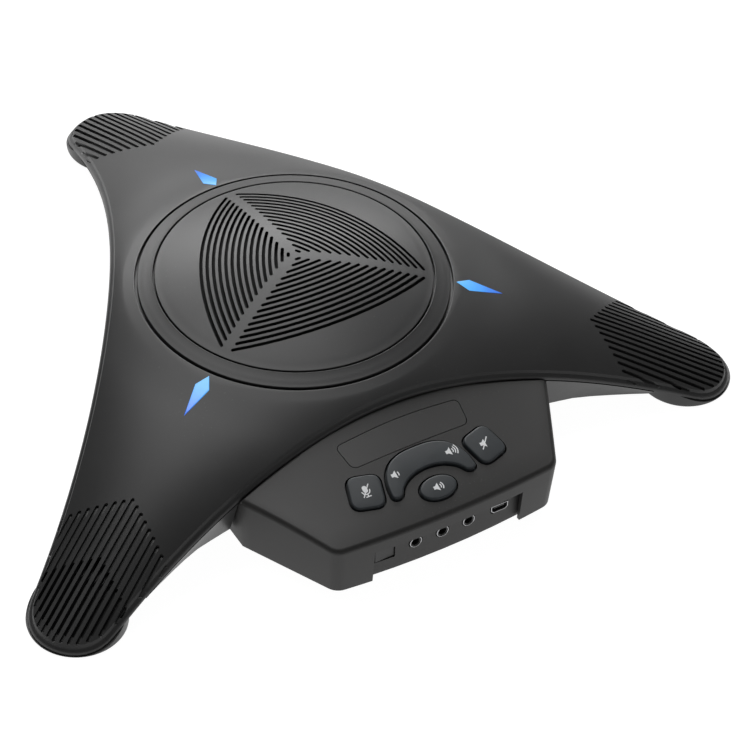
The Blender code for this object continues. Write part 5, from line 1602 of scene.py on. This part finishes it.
@dataclass
class Sockets:
    """Audio and USB sockets in the console's rear-set panel."""

    finishes: Finishes
    ring_radius: float = 2.75 * MM
    ring_inner: float = 2.35 * MM
    bore: float = 1.8 * MM
    usb_wall: float = 0.4 * MM

    def build(self) -> None:
        """Makes the three audio sockets and the USB socket."""
        for number in (1, 2, 3):
            low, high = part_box(f"audio_jack_{number}")
            place = ((low[0] + high[0]) / 2, low[1], (low[2] + high[2]) / 2)
            self.audio(number, place, high[1] - low[1])
        self.usb()

    def audio(self, number: int, place: Place, length: float) -> None:
        """Makes one audio socket: a plated ring round a black core.

        Args:
            number: the socket's number.
            place: middle of its front.
            length: depth of the socket.
        """
        rim = [(self.ring_radius - inset, -rise) for inset, rise in rounded_rim(0.0, 0.25 * MM, 4)]
        ring = [(self.ring_inner, 3 * MM), (self.ring_radius, 3 * MM), *rim,
                (self.ring_inner + 0.1 * MM, 0.0), (self.ring_inner, 0.15 * MM)]
        axis = (0, 1, 0)
        item = new_object(f"socket_ring_{number}", turned("ring", ring, place, 64, axis))
        shade(item)
        place_piece(item, "housing", self.finishes.plated)
        edge = self.ring_inner - 0.02 * MM
        core = [(0, length), (edge, length), (edge, 0.35 * MM), (self.bore + 0.15 * MM, 0.35 * MM),
                (self.bore, 0.5 * MM), (self.bore, 9 * MM), (0, 9 * MM)]
        item = new_object(f"socket_core_{number}", turned("core", core, place, 64, axis))
        shade(item)
        place_piece(item, "housing", self.finishes.black, (f"audio_jack_{number}",))

    def usb(self) -> None:
        """Makes the USB socket: a folded metal shell with a black tongue."""
        low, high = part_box("usb_socket")
        half, tall = (high[0] - low[0]) / 2, (high[2] - low[2]) / 2
        step = 2 * tall * 0.3
        turn = Matrix.Translation(((low[0] + high[0]) / 2, low[1], (low[2] + high[2]) / 2)) \
            @ Matrix.Rotation(math.pi / 2, 4, "X")
        corners = [(half, tall), (-half, tall), (-half, -tall + step), (-half + step, -tall),
                   (half - step, -tall), (half, -tall + step)]
        outline = rounded_polygon(corners, 0.25 * MM, 4)
        depth = high[1] - low[1]
        rims = [[(x, y, -z) for x, y in offset_loop(outline, -inset)] for inset, z in
                ((0.0, depth), (0.0, 0.1 * MM), (0.1 * MM, 0.0), (self.usb_wall - 0.1 * MM, 0.0),
                 (self.usb_wall, 0.1 * MM), (self.usb_wall, depth * 0.7))]
        mesh = loft("usb_shell", rims)
        mesh.transform(turn)
        item = new_object("usb_shell", mesh)
        shade(item)
        place_piece(item, "housing", self.finishes.plated, ("usb_socket",))
        wide = half * 0.62
        corners = [(-wide, -0.1 * MM), (wide, -0.1 * MM), (wide, 0.75 * MM), (-wide, 0.75 * MM)]
        item = new_object("usb_tongue", prism("usb_tongue", corners, -depth * 0.7, -0.6 * MM, turn))
        place_piece(item, "housing", self.finishes.black)


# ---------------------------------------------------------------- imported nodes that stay

@dataclass
class Interior:
    """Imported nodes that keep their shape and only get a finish."""

    finishes: Finishes

    def dress(self, nodes: dict[str, bpy.types.Object]) -> None:
        """Gives each kept node the finish of its material."""
        f = self.finishes
        arms = ("back", "left", "right")
        worn = {f.console: ["console_floor"], f.panel: ["port_panel"], f.film: ["rating_plate"],
                f.cloth: ["grille_cloth"], f.paper: ["speaker_cone", "dust_cap"], f.magnet: ["magnet"],
                f.steel: ["speaker_basket", "front_plate", "yoke"],
                f.plated: ["voice_coil", *(f"mic_capsule_{arm}" for arm in arms)],
                f.rubber: ["speaker_surround", *(f"mic_boot_{arm}" for arm in arms)],
                f.board: ["main_board", "key_board", *(f"led_board_{arm}" for arm in arms)],
                f.wire: [f"mic_lead_{arm}" for arm in arms],
                f.black: ["socket_blank", "speaker_chamber", "switch_mic_mute", "switch_speaker_mute",
                          "switch_talk", "switch_volume_down", "switch_volume_up"]}
        for material, names in worn.items():
            for name in names:
                item = nodes[name]
                item.data.materials.clear()
                item.data.materials.append(material)
                LOG.info("%s keeps its shape in %s", name, material.name)


# ---------------------------------------------------------------- studio

@dataclass(frozen=True)
class Lamp:
    """Soft rectangular lamp aimed at the object."""

    name: str
    place: Place
    size: Point
    power: float
    aim: Place = (0.0, 0.0, 0.03)

    def light(self) -> None:
        """Adds the lamp."""
        data = bpy.data.lights.new(self.name, "AREA")
        data.shape = "RECTANGLE"
        data.size, data.size_y = self.size
        data.energy = self.power
        item = bpy.data.objects.new(self.name, data)
        item.location = self.place
        item.rotation_euler = (Vector(self.aim) - Vector(self.place)).to_track_quat("-Z", "Y").to_euler()
        bpy.context.scene.collection.objects.link(item)


@dataclass
class Studio:
    """White ground, soft lamps and the camera."""

    form: BodyForm
    azimuth: float = -32.4659
    elevation: float = 44.1378
    roll: float = 2.6563
    distance: float = 1.35568
    aside: float = -0.032707
    above: float = 0.048971
    lens: float = 159.826
    ambient: float = 0.2
    lamps: tuple[Lamp, ...] = (
        Lamp("rear softbox", (0.6, 1.3, 0.95), (1.6, 0.9), 25.0),
        Lamp("top softbox", (0.1, 0.6, 1.7), (1.3, 1.1), 14.0),
    )

    def build(self) -> None:
        """Sets up the ground, the light and the camera."""
        scene = bpy.context.scene
        scene.view_settings.view_transform = "Standard"
        shape = bmesh.new()
        bmesh.ops.create_grid(shape, x_segments=2, y_segments=2, size=6.0)
        mesh = bpy.data.meshes.new("ground")
        shape.to_mesh(mesh)
        shape.free()
        ground = new_object("ground", mesh)
        ground.location.z = -0.0002
        ground.data.materials.append(StudioPaper().make())
        world = bpy.data.worlds.new("soft room")
        world.use_nodes = True
        world.node_tree.nodes["Background"].inputs["Color"].default_value = (1.0, 1.0, 1.0, 1.0)
        world.node_tree.nodes["Background"].inputs["Strength"].default_value = self.ambient
        scene.world = world
        for lamp in self.lamps:
            lamp.light()
        self.set_camera()

    def set_camera(self) -> None:
        """Places the camera by its direction, roll and where it sees the dome's highest point."""
        a, e, r = (math.radians(v) for v in (self.azimuth, self.elevation, self.roll))
        forward = -Vector((math.sin(a) * math.cos(e), -math.cos(a) * math.cos(e), math.sin(e)))
        right = forward.cross(Vector((0, 0, 1))).normalized()
        up = right.cross(forward)
        right, up = right * math.cos(r) + up * math.sin(r), up * math.cos(r) - right * math.sin(r)
        place = Vector((0, self.form.axis_y, self.form.height)) \
            - (right * self.aside + up * self.above + forward * self.distance)
        data = bpy.data.cameras.new("camera")
        data.lens = self.lens
        camera = bpy.data.objects.new("camera", data)
        camera.matrix_world = Matrix((right, up, -forward)).transposed().to_4x4()
        camera.location = place
        bpy.context.scene.collection.objects.link(camera)
        bpy.context.scene.camera = camera


def main() -> None:
    """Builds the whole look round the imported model."""
    logging.basicConfig(level=logging.INFO, format="%(name)s: %(message)s")
    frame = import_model()
    low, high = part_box("speaker_ring")
    form = BodyForm(axis_y=(low[1] + high[1]) / 2)
    finishes = Finishes(form.axis_y)
    slots, copies = slot_tree(), copy_tree()
    Studio(form).build()
    cover = Cover(form, slots, finishes)
    cover.build()
    cover.build_lights()
    SpeakerFront(form, slots, finishes).build()
    console = Console(form, finishes)
    keys = KeyPad(console, finishes)
    keys.lay_out()
    console.build(keys.openings())
    keys.build()
    base = Base(form, console, copies, finishes)
    base.build()
    base.build_feet()
    base.build_screws()
    Sockets(finishes).build()
    Interior(finishes).dress(frame["nodes"])


if __name__ == "__main__":
    main()
